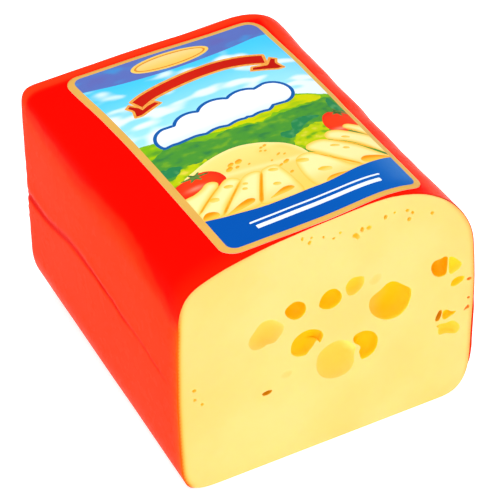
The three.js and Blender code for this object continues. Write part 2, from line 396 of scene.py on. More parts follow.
def base_ring(kind, v):
    """Outside surface and its normal, one ring. kind 'side': v = y behind the
    cut; 'turn': v = angle into the end rounding; 'cap': v = 0 rim .. 1 core."""
    if kind == "side":
        S = section(v)
        n = normals2(S)
        taper = (end_outer - cut_outer) / STRAIGHT
        ny = -(taper * n).sum(1)
        N = np.stack([n[:, 0], ny, n[:, 1]], 1)
        N /= np.linalg.norm(N, axis=1)[:, None]
        return np.stack([S[:, 0] - CX, np.full(M, v - HALF), S[:, 1]], 1), N
    S0 = section(STRAIGHT)
    n = normals2(S0)
    if kind == "turn":
        ins, y = END_ROUND * (1 - math.cos(v)), STRAIGHT + END_ROUND * math.sin(v)
        S = offset2(S0, -ins)
        N = np.stack([n[:, 0] * math.cos(v), np.full(M, math.sin(v)), n[:, 1] * math.cos(v)], 1)
        return np.stack([S[:, 0] - CX, np.full(M, y - HALF), S[:, 1]], 1), N
    S = offset2(S0, -END_ROUND)
    C = np.array([0.0, CORE_Z])
    S = C + (S - C) * (1 - v)
    N = np.tile([0.0, 1.0, 0.0], (M, 1))
    return np.stack([S[:, 0] - CX, np.full(M, LENGTH - HALF), S[:, 1]], 1), N


# Height of the fold that runs along each side of the film.
LEFT_FOLD = ([0, 9, 16.6, 22.4, 30, 38.3, 43.8, 51.6, 57.8, 64.1, 70.6, 77.3, 86.2, 91.4, 96.1, 101.3, 106.8, 111],
             [40.5, 40.7, 41.2, 42.2, 42.5, 42.3, 43.3, 43.8, 44.4, 44.6, 44.7, 44.1, 42.0, 40.9, 40.5, 40.3, 40.6, 40.6])
RIGHT_FOLD = ([0, 20, 45, 70, 95, 111], [42.6, 43.0, 42.1, 41.6, 41.0, 40.2])


def gauss(x, w):
    return np.exp(-(x / w) ** 2)


def fold(y, z, line, seed):
    """Height offset across a side fold, and how strong the fold is there, which sets the painted shade in it."""
    yy = np.clip(y, 0, LENGTH)
    c = np.interp(yy, *line) + 0.20 * noise2(yy, np.zeros_like(yy), 9.0, seed) \
        + 0.12 * noise2(yy, np.ones_like(yy), 4.0, seed + 1)
    far = smooth(4, 100, yy)
    w = 0.42 + 1.05 * far + 0.5 * noise2(yy, np.zeros_like(yy), 17.0, seed + 2) * far
    depth = (0.14 + 0.30 * far) * (0.8 + 0.7 * noise2(yy, np.zeros_like(yy), 21.0, seed + 3))
    depth = depth * smooth(1.0, 12.0, yy)
    d = z - c
    h = -depth * gauss(d, w) + 0.38 * depth * gauss(d - 2.3 * w, 1.7 * w) + 0.12 * depth * gauss(d + 2.6 * w, 2.2 * w)
    return h, depth * gauss(d, w * 0.9)


def relief(O, N):
    """How far the film stands off its plain shape, and the mask of painted shade in its creases."""
    x, z = O[:, 0], O[:, 2]
    y = O[:, 1] + HALF
    up = smooth(0.4, 7.0, z)
    h = 0.20 * noise(O, (34, 42, 30), 1) + 0.07 * noise(O, (13, 19, 12), 2)
    # long soft pulls of the film along the shoulders
    sh = gauss(z - 73, 13) * smooth(20, 40, np.abs(x))
    h = h + 0.16 * sh * noise(O, (16, 30, 9), 3)
    # the crown dips towards the loaf's end, and the right shoulder is slacker
    h = h - 0.75 * gauss(x - 18, 17) * smooth(78, 106, y) * smooth(0.2, 0.7, N[:, 2])
    slack = smooth(26, 40, x) * smooth(50, 64, z) * (np.abs(N[:, 1]) < 0.95)
    h = h - 0.60 * slack * smooth(10, 35, y) * (1 - 0.4 * smooth(88, 104, y))
    h = h + 0.42 * slack * noise2(y, z * 0.30, 10.0, 47)
    side_l = smooth(-38, -45, x) * (np.abs(N[:, 1]) < 0.9)
    side_r = smooth(38, 45, x) * (np.abs(N[:, 1]) < 0.9)
    fl, cl = fold(y, z, LEFT_FOLD, 5)
    fr, cr = fold(y, z, RIGHT_FOLD, 9)
    h = h + fl * side_l + fr * side_r
    # mask of painted shade down in the side folds
    crease_shade = cl * side_l + cr * side_r
    # the end: the film's welded seam lies flat across it, gathered at its ends
    e = smooth(0.25, 0.9, N[:, 1])
    seam_z = 40.3 + 0.5 * noise2(x, np.zeros_like(x), 30.0, 31)
    d = z - seam_z
    band = smooth(-2.6, -2.0, d) * smooth(2.7, 2.1, d)
    skirt = smooth(-9.6, -9.0, d + 0.8 * noise2(x, np.zeros_like(x), 18.0, 33)) * smooth(-2.0, -2.7, d)
    ribs = 0.5 + 0.5 * np.cos(d * 2 * math.pi / 1.25)
    h = h + e * (0.34 * band + 0.10 * band * ribs + 0.26 * skirt)
    pull = noise2(x * 0.35, z, (6.0, 7.0, 6.0), 35) * gauss(d, 17)
    ends = smooth(14, 44, np.abs(x))
    h = h + e * 0.42 * pull * ends
    ang = np.arctan2(z - 40.3, np.abs(x) - 58)
    rad = np.hypot(z - 40.3, np.abs(x) - 58)
    h = h + e * 0.30 * np.cos(ang * 26 + 2.0 * noise2(x, z, 14.0, 37)) * gauss(rad - 16, 13) * smooth(6, 12, rad)
    h = h - e * 0.25 * (1 - band) * (1 - skirt) * gauss(d, 5.0)
    # painted shade along both edges of the seam's band
    crease_shade = crease_shade + e * 0.35 * gauss(np.abs(d) - 2.7, 0.5)
    low = -0.03
    return np.maximum(h * up, low * (1 - up) - 5 * up), crease_shade


# ----------------------------------------------------------------- film mesh
side_y = np.concatenate([[0, 0.25, 0.6, 1.1, 1.8], np.arange(2.7, STRAIGHT - 0.6, 1.0), [STRAIGHT]])
kinds = [("side", y) for y in side_y] + [("turn", a) for a in np.linspace(0, math.pi / 2, 10)[1:]] \
    + [("cap", v) for v in np.linspace(0, 1, 62)[1:-1]]


def lip(z, x):
    """How the cut film stands out from the cheese at its very edge."""
    right = smooth(38, 46, x)
    a = 0.34 * right * smooth(10, 16, z) * smooth(38, 31, z)
    b = 0.10 * smooth(22, 30, x) * smooth(71, 77, z) * smooth(86, 83, z)
    return a + b


def layers(kind_list, at_cut, deep=None, flare=True):
    """Rings at a depth inside the outside, following its relief."""
    pts, crs = [], []
    for kind, v in kind_list:
        O, N = base_ring(kind, v)
        h, c = relief(O, N)
        depth = at_cut
        if deep is not None:
            depth = at_cut + (deep - at_cut) * (float(smooth(0.2, 3.0, v)) if kind == "side" else 1.0)
        if kind == "side" and v < 6 and flare:
            h = h + lip(O[:, 2], O[:, 0]) * math.exp(-(v / 2.0) ** 2)
        P = O + N * (h - depth)[:, None]
        P[:, 2] = np.maximum(P[:, 2], depth if depth > 0 else 0.0)
        pts.append(P)
        crs.append(c)
    return pts, crs


def strip(a, b, n, flip=False):
    """Quads between two rings starting at indices a and b."""
    i = np.arange(n)
    j = (i + 1) % n
    q = np.stack([a + i, a + j, b + j, b + i], 1)
    return q[:, ::-1] if flip else q


outer, crease_shade = layers(kinds, 0.0)
# the film was cut with the cheese, so its edge runs nearly true
_edge = 0.10 * noise2(np.arange(M) * 0.7, np.zeros(M), 6.0, 41) + 0.08 * noise2(np.arange(M) * 0.7, np.zeros(M), 2.2, 43)
_edge = np.where(outer[0][:, 2] < 3, 0.0, _edge)
_fwd = 0.45 * lip(outer[0][:, 2], outer[0][:, 0])
_ox, _oz = outer[0][:, 0], outer[0][:, 2]
_draw = np.maximum(smooth(40, 46, _ox) * smooth(12, 9, _oz), smooth(3.0, 0.8, _oz))
lip_y = np.clip(_edge, -0.10, 0.14) + 0.42 * _draw - _fwd
for k, w in enumerate((1.0, 0.78, 0.45, 0.15)):
    outer[k][:, 1] += lip_y * w

film_v, film_f, film_c = [], [], []
count = 0


def add_ring(P, c):
    global count
    film_v.append(P)
    film_c.append(c)
    count += len(P)
    return count - len(P)


starts = [add_ring(P, c) for P, c in zip(outer, crease_shade)]
for a, b in zip(starts, starts[1:]):
    film_f.append(strip(a, b, M))
tip = add_ring(np.array([[-CX, LENGTH - HALF + relief(np.array([[-CX, HALF, CORE_Z]]), np.array([[0, 1.0, 0]]))[0][0], CORE_Z]]), np.zeros(1))
_i = np.arange(M)
film_tri = [np.stack([starts[-1] + _i, starts[-1] + (_i + 1) % M, np.full(M, tip)], 1)]
# edge of the film at the cut, slightly rounded
inner_kinds = [("side", y) for y in (0, 0.3, 0.8, 1.6, 3, 6, 10)] \
    + [("side", y) for y in np.linspace(14, STRAIGHT, 24)] \
    + [("turn", a) for a in np.linspace(0, math.pi / 2, 6)[1:]] + [("cap", v) for v in (0.08, 0.25, 0.5, 0.75, 0.93)]
inner, icr = layers(inner_kinds, FILM_T, FILM_T_IN)
for k, w in enumerate((1.0, 0.75, 0.3)):
    inner[k][:, 1] += lip_y * w
O0, N0 = base_ring("side", 0)
mid_a = outer[0] * 0.85 + inner[0] * 0.15
mid_b = outer[0] * 0.15 + inner[0] * 0.85
mid_a[:, 1] -= 0.05
mid_b[:, 1] -= 0.05
for P in (mid_a, mid_b):
    P[:, 1] += 0.02
    P[:, 2] = np.maximum(P[:, 2], 0.0)
sa = add_ring(mid_a, crease_shade[0])
sb = add_ring(mid_b, crease_shade[0])
istarts = [add_ring(P, c) for P, c in zip(inner, icr)]
film_f.append(strip(sa, starts[0], M))
film_f.append(strip(sb, sa, M))
film_f.append(strip(istarts[0], sb, M))
for a, b in zip(istarts, istarts[1:]):
    film_f.append(strip(b, a, M))
itip = add_ring(np.array([[-CX, LENGTH - HALF - FILM_T_IN, CORE_Z]]), np.zeros(1))
film_tri.append(np.stack([istarts[-1] + (_i + 1) % M, istarts[-1] + _i, np.full(M, itip)], 1))
film_faces = [tuple(q[::-1]) for q in np.vstack(film_f)] + [tuple(t[::-1]) for t in np.vstack(film_tri)]
film_verts = np.vstack(film_v)
film_crease_shade = np.concatenate(film_c)

# Colour of the film: deep red where it stands over the shoulders. The lighter, warmer red on the flanks, on the right,
# towards the far end and high up near the cut is painted sheen; an orange painted glow lies near the cut at the far
# left, and painted shade darkens the film down in the folds.
# top edge of the painted sheen on the left flank, along the loaf
FLANK_SHEEN_TOP = ([0, 6.8, 13.3, 20, 26, 33, 41, 50, 58, 70, 79, 91, 105, 111],
             [68, 70.4, 72, 73.5, 74.8, 76.3, 76.8, 76.4, 76.0, 74.2, 75.2, 76, 77.8, 78])


def film_tint(P, crease_shade_):
    x, y, z = P[:, 0], P[:, 1] + HALF, P[:, 2]
    flat0 = np.zeros_like(y)
    zb = np.interp(y, *FLANK_SHEEN_TOP) + 1.5 * noise2(y, flat0, 8.0, 45) + 0.7 * noise2(y, z, 3.5, 46)
    # painted sheen: a lighter, warmer red below that edge on the left flank, high up near the cut, on the right and
    # towards the far end
    left = (0.45 * smooth(0.6, -1.6, z - zb) + 0.55 * smooth(-2.2, -6.5, z - zb)) * (x < 0)
    right_sheen = smooth(33.6, 36.5, x)
    back_sheen = smooth(104.2, 106.4, y)
    col_ = np.tile([0.96, 0.0026, 0.0006], (len(P), 1))
    near = 0.22 * smooth(9, 0, y) * smooth(60, 66, z)
    col_ = col_ + (np.array([0.96, 0.034, 0.0040]) - col_) * np.clip(np.maximum(left, near), 0, 1)[:, None]
    col_ = col_ + (np.array([0.96, 0.040, 0.0080]) - col_) * np.maximum(right_sheen, 0.95 * back_sheen)[:, None]
    # the painted sheen on the right is broken up in patches
    sheen_gap = smooth(0.0, 0.5, noise2(y, z, 7.0, 48))
    col_ = col_ + (np.array([0.95, 0.0080, 0.0010]) - col_) * (0.35 * right_sheen * sheen_gap)[:, None]
    # painted glow: orange on the film near the cut at the far left
    glow = np.exp(-np.maximum(y, 0) / 1.5) * smooth(-44, -47, x) * smooth(3, 7, z) * smooth(70, 62, z)
    col_ = col_ + (np.array([0.98, 0.10, 0.0006]) - col_) * glow[:, None]
    # painted shade down in the folds
    fold_shade = smooth(0.005, 0.12, crease_shade_) * 0.95
    return col_ + (np.array([0.62, 0.0040, 0.0004]) - col_) * fold_shade[:, None]


film_col = film_tint(film_verts, film_crease_shade)
_rim = np.zeros(len(film_verts), bool)
_rim[sa:sb + M] = True
_rx, _rz = film_verts[:, 0], film_verts[:, 2]
# painted shade on the film's cut edge, all round but the far left, lighter low down on the right
_rim_shade = np.where(_rim, 0.85 * np.maximum(smooth(-47, -40, _rx), smooth(62, 70, _rz)), 0.0)
_rim_shade = _rim_shade * (1 - 0.30 * smooth(40, 45, _rx) * smooth(38, 33, _rz))
film_col = film_col + (np.array([0.42, 0.018, 0.004]) - film_col) * _rim_shade[:, None]

mat = Tree("casing_red")
tint = mat.attr("tint", True)
broad = mat.noise(38, 2, 0.5)
fine = mat.noise(5.5, 3, 0.55)
col = mat.mix(mat.ramp(broad, 0.35, 0.65, 0.0, 0.25), tint, (0.96, 0.82, 0.80), "MULTIPLY")
col = mat.mix(mat.ramp(fine, 0.5, 0.8, 0.0, 0.20), col, (1.0, 1.25, 1.1), "MULTIPLY")
mat.set(Base_Color=col, Roughness=mat.ramp(fine, 0.3, 0.7, 0.22, 0.30), IOR=1.46)
mat.set(Specular_Tint=(1.0, 0.60, 0.40, 1.0))
mat.bsdf.inputs["Specular IOR Level"].default_value = 0.004
peel = mat.bump(mat.noise(2.4, 2, 0.5), 0.008, 0.4)
mat.set(Normal=mat.bump(mat.noise(14, 2, 0.5), 0.10, 0.5, peel))
casing = make("casing_film_skin", film_verts, film_faces, mat.mat, colours=film_col)
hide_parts("casing_film")
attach(casing, "root")

# -------------------------------------------------------------- cheese block
# Outlines of the eyes that the cut has opened, on the cut face: x, z.
EYES = [
    # name, outline, kind, depth
    ("big_left", [(-27.0, 50.6), (-26.4, 52.5), (-25.3, 53.9), (-24.2, 55.3), (-22.5, 56.8), (-20.4, 57.0), (-18.3, 56.1), (-16.4, 54.4), (-15.2, 52.7), (-15.3, 50.6), (-16.6, 48.9), (-18.0, 47.7), (-19.6, 47.5), (-20.7, 47.8), (-21.8, 47.3), (-23.9, 47.0), (-26.0, 48.0)], "dish", 2.1),
    ("amber_left", [(-14.8, 57.7), (-14.2, 58.9), (-12.9, 59.8), (-11.4, 60.2), (-9.7, 59.6), (-8.2, 58.3), (-7.6, 56.6), (-8.0, 54.6), (-9.3, 53.4), (-11.2, 53.2), (-13.2, 54.5), (-14.5, 56.3)], "deep", 3.8),
    ("amber_mid", [(-3.3, 55.3), (-2.8, 57.5), (-1.6, 59.2), (0.1, 60.0), (2.1, 59.7), (3.6, 58.2), (4.5, 56.3), (4.1, 54.2), (2.6, 52.9), (0.6, 52.5), (-1.5, 53.2), (-2.9, 54.3)], "deep", 3.8),
    ("leaf", [(5.7, 58.4), (6.4, 60.3), (7.9, 61.3), (9.6, 61.2), (11.9, 60.3), (12.1, 59.0), (11.7, 57.0), (10.2, 55.4), (8.2, 54.6), (6.7, 55.1), (6.0, 56.6)], "mid", 1.9),
    ("largest", [(13.8, 48.2), (14.2, 50.6), (15.7, 51.9), (17.6, 52.8), (19.4, 54.1), (21.1, 54.5), (22.7, 54.1), (24.7, 52.5), (26.5, 50.8), (28.2, 49.2), (28.6, 47.6), (28.3, 44.7), (27.2, 42.2), (25.4, 40.4), (23.2, 39.7), (20.1, 40.1), (17.4, 41.8), (15.1, 44.2), (14.1, 46.4)], "deep", 5.2),
    ("bean", [(-12.9, 42.1), (-12.7, 44.0), (-11.5, 46.0), (-9.3, 47.3), (-7.2, 47.6), (-4.6, 46.9), (-2.6, 45.4), (-1.7, 43.6), (-2.2, 41.8), (-2.9, 40.9), (-3.9, 42.3), (-4.6, 41.7), (-5.4, 40.4), (-6.5, 39.4), (-7.4, 38.3), (-9.8, 38.3), (-11.7, 39.4), (-12.8, 40.8)], "deep", 2.6),
    ("big_low", [(-4.1, 31.8), (-3.9, 34.7), (-3.0, 36.9), (-1.1, 38.3), (1.1, 39.1), (3.3, 39.2), (5.5, 38.4), (7.5, 36.7), (9.0, 34.7), (9.5, 33.2), (9.2, 32.1), (8.9, 31.0), (8.9, 28.2), (7.9, 26.1), (6.1, 24.9), (3.4, 24.6), (0.3, 25.3), (-2.3, 27.2), (-3.7, 29.6)], "dish", 2.6),
    ("notched", [(8.5, 37.0), (8.9, 38.6), (10.4, 39.2), (12.6, 39.1), (14.8, 38.0), (16.5, 36.1), (17.2, 33.8), (16.9, 31.4), (15.8, 29.3), (14.1, 28.3), (11.6, 28.1), (10.9, 30.3), (10.6, 31.7), (11.1, 33.0), (10.4, 34.3), (9.0, 35.6)], "deep", 3.8),
    ("faint_top", [(13.6, 57.2), (14.5, 58.8), (16.2, 59.5), (18.0, 58.9), (17.9, 57.4), (16.7, 55.9), (15.0, 55.7)], "faint", 0.32),
    ("slit", [(-22.8, 29.1), (-21.9, 29.6), (-20.4, 29.7), (-19.1, 29.2), (-19.6, 28.3), (-20.9, 28.0), (-22.2, 28.2)], "slit", 1.7),
    ("faint_low", [(-16.5, 33.4), (-15.4, 34.7), (-13.9, 34.8), (-12.3, 34.3), (-12.4, 32.9), (-13.7, 31.9), (-15.4, 32.2)], "faint", 0.32),
    ("right_deep", [(35.3, 53.5), (35.4, 55.1), (36.3, 56.2), (38.3, 56.3), (40.1, 56.6), (41.0, 56.0), (41.1, 53.8), (41.0, 51.6), (40.6, 49.5), (38.6, 49.2), (36.5, 50.6), (35.6, 52.3)], "deep", 3.6),
    ("right_pale", [(41.6, 55.8), (43.2, 55.1), (44.7, 53.5), (46.2, 51.4), (45.6, 50.0), (44.2, 49.3), (42.4, 48.7), (41.7, 49.7), (41.5, 52.3)], "mid", 1.6),
    ("right_slit", [(42.4, 44.4), (42.9, 46.0), (44.3, 46.8), (45.9, 46.7), (47.4, 45.9), (47.0, 44.8), (45.6, 44.0), (44.0, 43.5), (42.8, 43.8)], "mid", 1.5),
    ("low_dark", [(37.3, 33.0), (37.8, 34.5), (38.6, 36.0), (39.6, 36.0), (39.7, 34.6), (39.2, 33.0), (38.5, 31.9), (37.5, 32.2)], "slit", 1.7),
    ("low_amber", [(40.1, 35.3), (41.5, 35.3), (43.2, 33.9), (44.8, 33.5), (44.2, 32.6), (42.8, 32.2), (41.2, 31.6), (40.1, 32.0)], "mid", 1.5),
    ("low_pale", [(37.6, 30.1), (38.8, 30.5), (41.2, 30.2), (43.3, 30.2), (45.0, 29.0), (46.3, 27.1), (46.3, 25.5), (45.2, 24.4), (43.1, 25.0), (41.0, 26.1), (39.1, 26.1), (38.4, 27.7), (38.6, 29.0)], "pale", 1.5),
    ("pit_a", [(-9.3, 82.9), (-8.8, 83.4), (-8.4, 82.8), (-8.6, 81.7), (-9.2, 82.0)], "pit", 0.7),
    ("pit_b", [(-7.2, 80.2), (-6.5, 81.1), (-5.9, 80.9), (-5.8, 80.1), (-6.5, 79.3)], "pit", 0.8),
    ("pit_c", [(-6.3, 81.95), (-5.8, 82.3), (-5.3, 81.75), (-5.9, 81.4)], "pit", 0.5),
    ("pit_d", [(-2.3, 80.8), (-1.9, 81.1), (-1.4, 80.6), (-1.7, 79.9)], "pit", 0.8),
    ("pit_e", [(1.0, 78.8), (1.5, 79.2), (2.2, 79.0), (1.8, 78.3), (1.3, 78.3)], "pit", 0.7),
    ("pit_f", [(3.2, 80.2), (3.9, 80.5), (4.3, 79.9), (3.7, 79.4)], "pit", 0.4),
    ("pit_g", [(7.7, 76.8), (8.4, 77.9), (9.4, 77.7), (10.1, 76.6), (10.5, 75.5), (9.7, 75.0), (8.8, 75.9)], "pit", 0.9),
    ("pit_h", [(10.4, 78.2), (10.9, 79.3), (11.7, 78.8), (11.8, 77.8), (11.1, 77.2)], "pit", 1.3),
    ("pit_i", [(12.4, 78.1), (13.3, 78.9), (14.3, 78.3), (14.2, 77.4), (13.1, 77.2)], "pit", 0.6),
    ("pit_j", [(18.3, 79.6), (18.6, 80.6), (19.5, 80.4), (19.7, 79.5), (19.1, 78.8), (18.5, 79.0)], "pit", 1.3),
    ("pit_k", [(21.5, 80.4), (22.2, 80.8), (22.6, 80.1), (21.9, 79.8)], "pit", 0.4),
    ("pit_l", [(25.6, 79.5), (26.2, 80.0), (27.1, 79.4), (26.7, 78.6)], "pit", 0.7),
    ("pit_m", [(27.6, 78.1), (28.0, 78.6), (28.8, 77.8), (28.5, 77.0)], "pit", 0.7),
    ("pit_n", [(26.3, 75.9), (26.8, 76.7), (27.9, 76.1), (27.4, 75.0), (26.7, 75.2)], "pit", 0.9),
    ("pit_o", [(34.3, 75.2), (34.9, 75.9), (35.7, 75.2), (35.2, 74.2)], "pit", 0.7),
    ("pit_p", [(-45.9, 40.6), (-44.8, 40.9), (-44.3, 39.9), (-45.3, 39.5)], "pit", 0.9),
    ("pit_q", [(-45.5, 37.0), (-44.9, 37.2), (-44.4, 36.3), (-45.3, 36.0)], "pit", 0.6),
    ("pit_r", [(-43.2, 34.2), (-42.5, 34.5), (-42.0, 33.6), (-42.8, 33.2)], "pit", 0.6),
    ("nick_a", [(48.1, 44.6), (49.0, 45.0), (49.9, 44.5), (49.85, 43.9), (48.6, 43.8)], "nick", 1.1),
    ("nick_b", [(48.5, 37.2), (49.1, 37.5), (49.6, 37.1), (49.5, 36.6), (48.8, 36.6)], "nick", 1.0),
    ("nick_c", [(47.4, 32.3), (48.2, 33.6), (49.1, 34.3), (49.6, 33.5), (49.5, 32.7), (48.6, 32.6)], "nick", 1.2),
]
PROFILE = {
    # scale of the outline and share of the depth, from the rim inwards
    "deep": [(0.985, 0.03), (0.98, 0.09), (1.00, 0.2), (1.02, 0.33), (1.00, 0.48), (0.93, 0.64), (0.80, 0.79), (0.60, 0.91), (0.34, 0.98)],
    "mid": [(0.98, 0.06), (0.965, 0.18), (0.94, 0.36), (0.87, 0.56), (0.75, 0.74), (0.58, 0.88), (0.36, 0.96)],
    "dish": [(0.985, 0.06), (0.965, 0.17), (0.92, 0.34), (0.84, 0.53), (0.72, 0.71), (0.56, 0.85), (0.36, 0.95)],
    "pale": [(0.975, 0.08), (0.94, 0.24), (0.86, 0.46), (0.74, 0.68), (0.56, 0.85), (0.34, 0.95)],
    "faint": [(0.90, 0.10), (0.76, 0.32), (0.58, 0.60), (0.40, 0.82), (0.2, 0.96)],
    "slit": [(0.96, 0.06), (0.93, 0.22), (0.88, 0.45), (0.76, 0.70), (0.52, 0.90), (0.26, 0.98)],
    "pit": [(0.93, 0.10), (0.84, 0.34), (0.66, 0.66), (0.38, 0.92)],
    "nick": [(0.94, 0.10), (0.86, 0.34), (0.68, 0.66), (0.38, 0.92)],
}
CHEESE = lin(254, 208, 126)
# Eye walls: in TONES and EYE_TONES the darker, more amber colour towards each bottom is painted shade, and so are the
# darker tones of slits and nicks.
TONES = {   # colour just inside the rim, and at the bottom
    "deep": (lin(255, 212, 62), lin(255, 200, 2)),
    "mid": (lin(255, 224, 84), lin(255, 216, 34)),
    "dish": (lin(255, 205, 104), lin(255, 201, 80)),
    "pale": (lin(255, 212, 84), lin(255, 204, 52)),
    "faint": (lin(254, 206, 119), lin(254, 203, 111)),
    "slit": (lin(230, 164, 26), lin(220, 148, 6)),
    "pit": (lin(253, 214, 100), lin(246, 198, 40)),
    "nick": (lin(252, 176, 76), lin(240, 140, 36)),
}
EYE_TONES = {
    "amber_left": (lin(255, 208, 40), lin(255, 201, 0)),
    "amber_mid": (lin(255, 214, 46), lin(255, 212, 0)),
    "largest": (lin(255, 212, 60), lin(255, 203, 0)),
    "notched": (lin(255, 212, 40), lin(255, 208, 0)),
    "leaf": (lin(255, 214, 96), lin(255, 206, 50)),
    "right_slit": (lin(255, 216, 60), lin(255, 209, 14)),
    "low_amber": (lin(255, 208, 50), lin(255, 200, 4)),
    "right_deep": (lin(255, 198, 30), lin(255, 190, 0)),
    "big_low": (lin(255, 205, 98), lin(255, 199, 72)),
}

# outline of the cheese on the cut face
O0, N0 = base_ring("side", 0)
h0, _ = relief(O0, N0)
rim3 = O0 + N0 * (h0 - CHEESE_IN)[:, None]
rim = rim3[:, [0, 2]].copy()
rim[:, 1] = np.maximum(rim[:, 1], CHEESE_IN)
front = offset2(rim, -0.10)              # where the face turns into the sides
band_loops = [offset2(rim, -d)[::2] for d in (0.34, 0.62, 0.95, 1.45, 2.1, 3.0, 4.2)]

eye_loops, eye_halos = [], []
for name, outline, kind, depth in EYES:
    P = np.array(outline, float)
    P[:, 0] -= CX
    area = 0.5 * np.sum(P[:, 0] * np.roll(P[:, 1], -1) - np.roll(P[:, 0], -1) * P[:, 1])
    if area < 0:
        P = P[::-1]
    size = math.sqrt(abs(area))
    n = int(np.clip(size * 7.5, 14, 84))
    C = resample(catmull(P, 8), n)
    # torn rims: small irregular steps
    ph = np.arange(n) / n * 2 * math.pi
    jag = 0.05 * size / 6 * noise2(np.cos(ph) * 8, np.sin(ph) * 8, 2.6, len(eye_loops) + 50)
    if kind in ("pale", "pit", "nick", "slit"):
        jag = 0.16 * noise2(np.cos(ph) * 8, np.sin(ph) * 8, 2.2, len(eye_loops) + 50) * min(1.0, size / 2)
    C = C + (offset2(C, 1.0) - C) * jag[:, None]
    eye_loops.append(C)
    eye_halos.append(offset2(C, 0.14))

step = 0.95
gx, gz = np.meshgrid(np.arange(-51, 51, step), np.arange(0, 88, step * 0.87))
gx[1::2] += step / 2
grid = np.stack([gx.ravel(), gz.ravel()], 1)
keep = inside(offset2(rim, -4.7), grid)
grid = grid[keep]
for C in eye_loops:
    lo, hi = C.min(0) - 1, C.max(0) + 1
    near = np.all((grid > lo) & (grid < hi), axis=1)
    bad = np.zeros(len(grid), bool)
    bad[near] = inside(C, grid[near]) | (edge_distance(C, grid[near]) < 0.45)
    grid = grid[~bad]
jit = np.random.default_rng(3).normal(scale=0.06, size=grid.shape)
grid = grid + jit

loose = [grid]
for L in band_loops:
    ok = np.ones(len(L), bool)
    for C in eye_loops:
        ok &= ~(inside(C, L) | (edge_distance(C, L) < 0.22))
    loose.append(L[ok])
for i, H in enumerate(eye_halos):
    ok = inside(front, H) & (edge_distance(front, H) > 0.12)
    for j, C in enumerate(eye_loops):
        if j != i:
            ok &= ~(inside(C, H) | (edge_distance(C, H) < 0.10))
    loose.append(H[ok])
fv, ff, where = cdt([front] + eye_loops, np.vstack(loose))
cen = np.array([fv[list(f)].mean(0) for f in ff])
ok = inside(front, cen)
for C in eye_loops:
    ok &= ~inside(C, cen)
ff = [f for f, k in zip(ff, ok) if k]

face_y = -HALF


def face_relief(q):
    """Soft unevenness of the cut face, mm, positive outwards (towards -Y)."""
    u, v = q[:, 0], q[:, 1]
    r = 0.06 * noise2(u, v, 22.0, 61) + 0.025 * noise2(u, v, 6.0, 62)
    wire = 0.016 * noise2(u * 0.18 + v * 0.05, v, (6, 0.9, 6), 63)      # drag marks of the cut
    return np.minimum(r + wire, 0.0) - 0.01


cv = [np.stack([fv[:, 0], face_y - face_relief(fv), fv[:, 1]], 1)]
dist = edge_distance(front, fv)


def face_colour(q, d):
    """Cheese colour on the face, warmer towards the rim: orange and amber bands at the far left, peach and blush at the
    top left and the right.
    """
    u, v = q[:, 0], q[:, 1]
    base = np.tile(CHEESE, (len(q), 1))
    warm = smooth(-0.25, 0.5, noise2(u, v, 26.0, 71))[:, None]
    base = base * (1 - warm * np.array([0.0, 0.018, 0.10]))
    left = (smooth(-43, -47.5, u) * smooth(1, 5, v) * smooth(76, 66, v))
    topl = smooth(-10, -30, u) * smooth(64, 74, v) * 0.55
    right = smooth(38, 45, u) * smooth(3, 9, v)
    orange, amber, peach, blush = lin(244, 104, 4), lin(255, 186, 52), lin(255, 178, 92), lin(255, 208, 122)
    k2 = np.exp(-(d / 1.25) ** 2) * left
    base = base + (amber - base) * np.clip(k2 * 1.15, 0, 1)[:, None]
    k = np.exp(-(d / 0.62) ** 2) * left
    base = base + (orange - base) * np.clip(k * 1.3, 0, 1)[:, None]
    k3 = np.exp(-(d / 2.3) ** 2) * right * 0.8
    base = base + (blush - base) * k3[:, None]
    k4 = np.exp(-(d / 0.8) ** 2) * np.maximum(right, topl)
    base = base + (peach - base) * np.clip(k4 * 1.2, 0, 1)[:, None]
    return np.clip(base, 0, 1)


cc = [face_colour(fv, dist)]
cfaces = [tuple(reversed(f)) if False else f for f in ff]
total = len(fv)

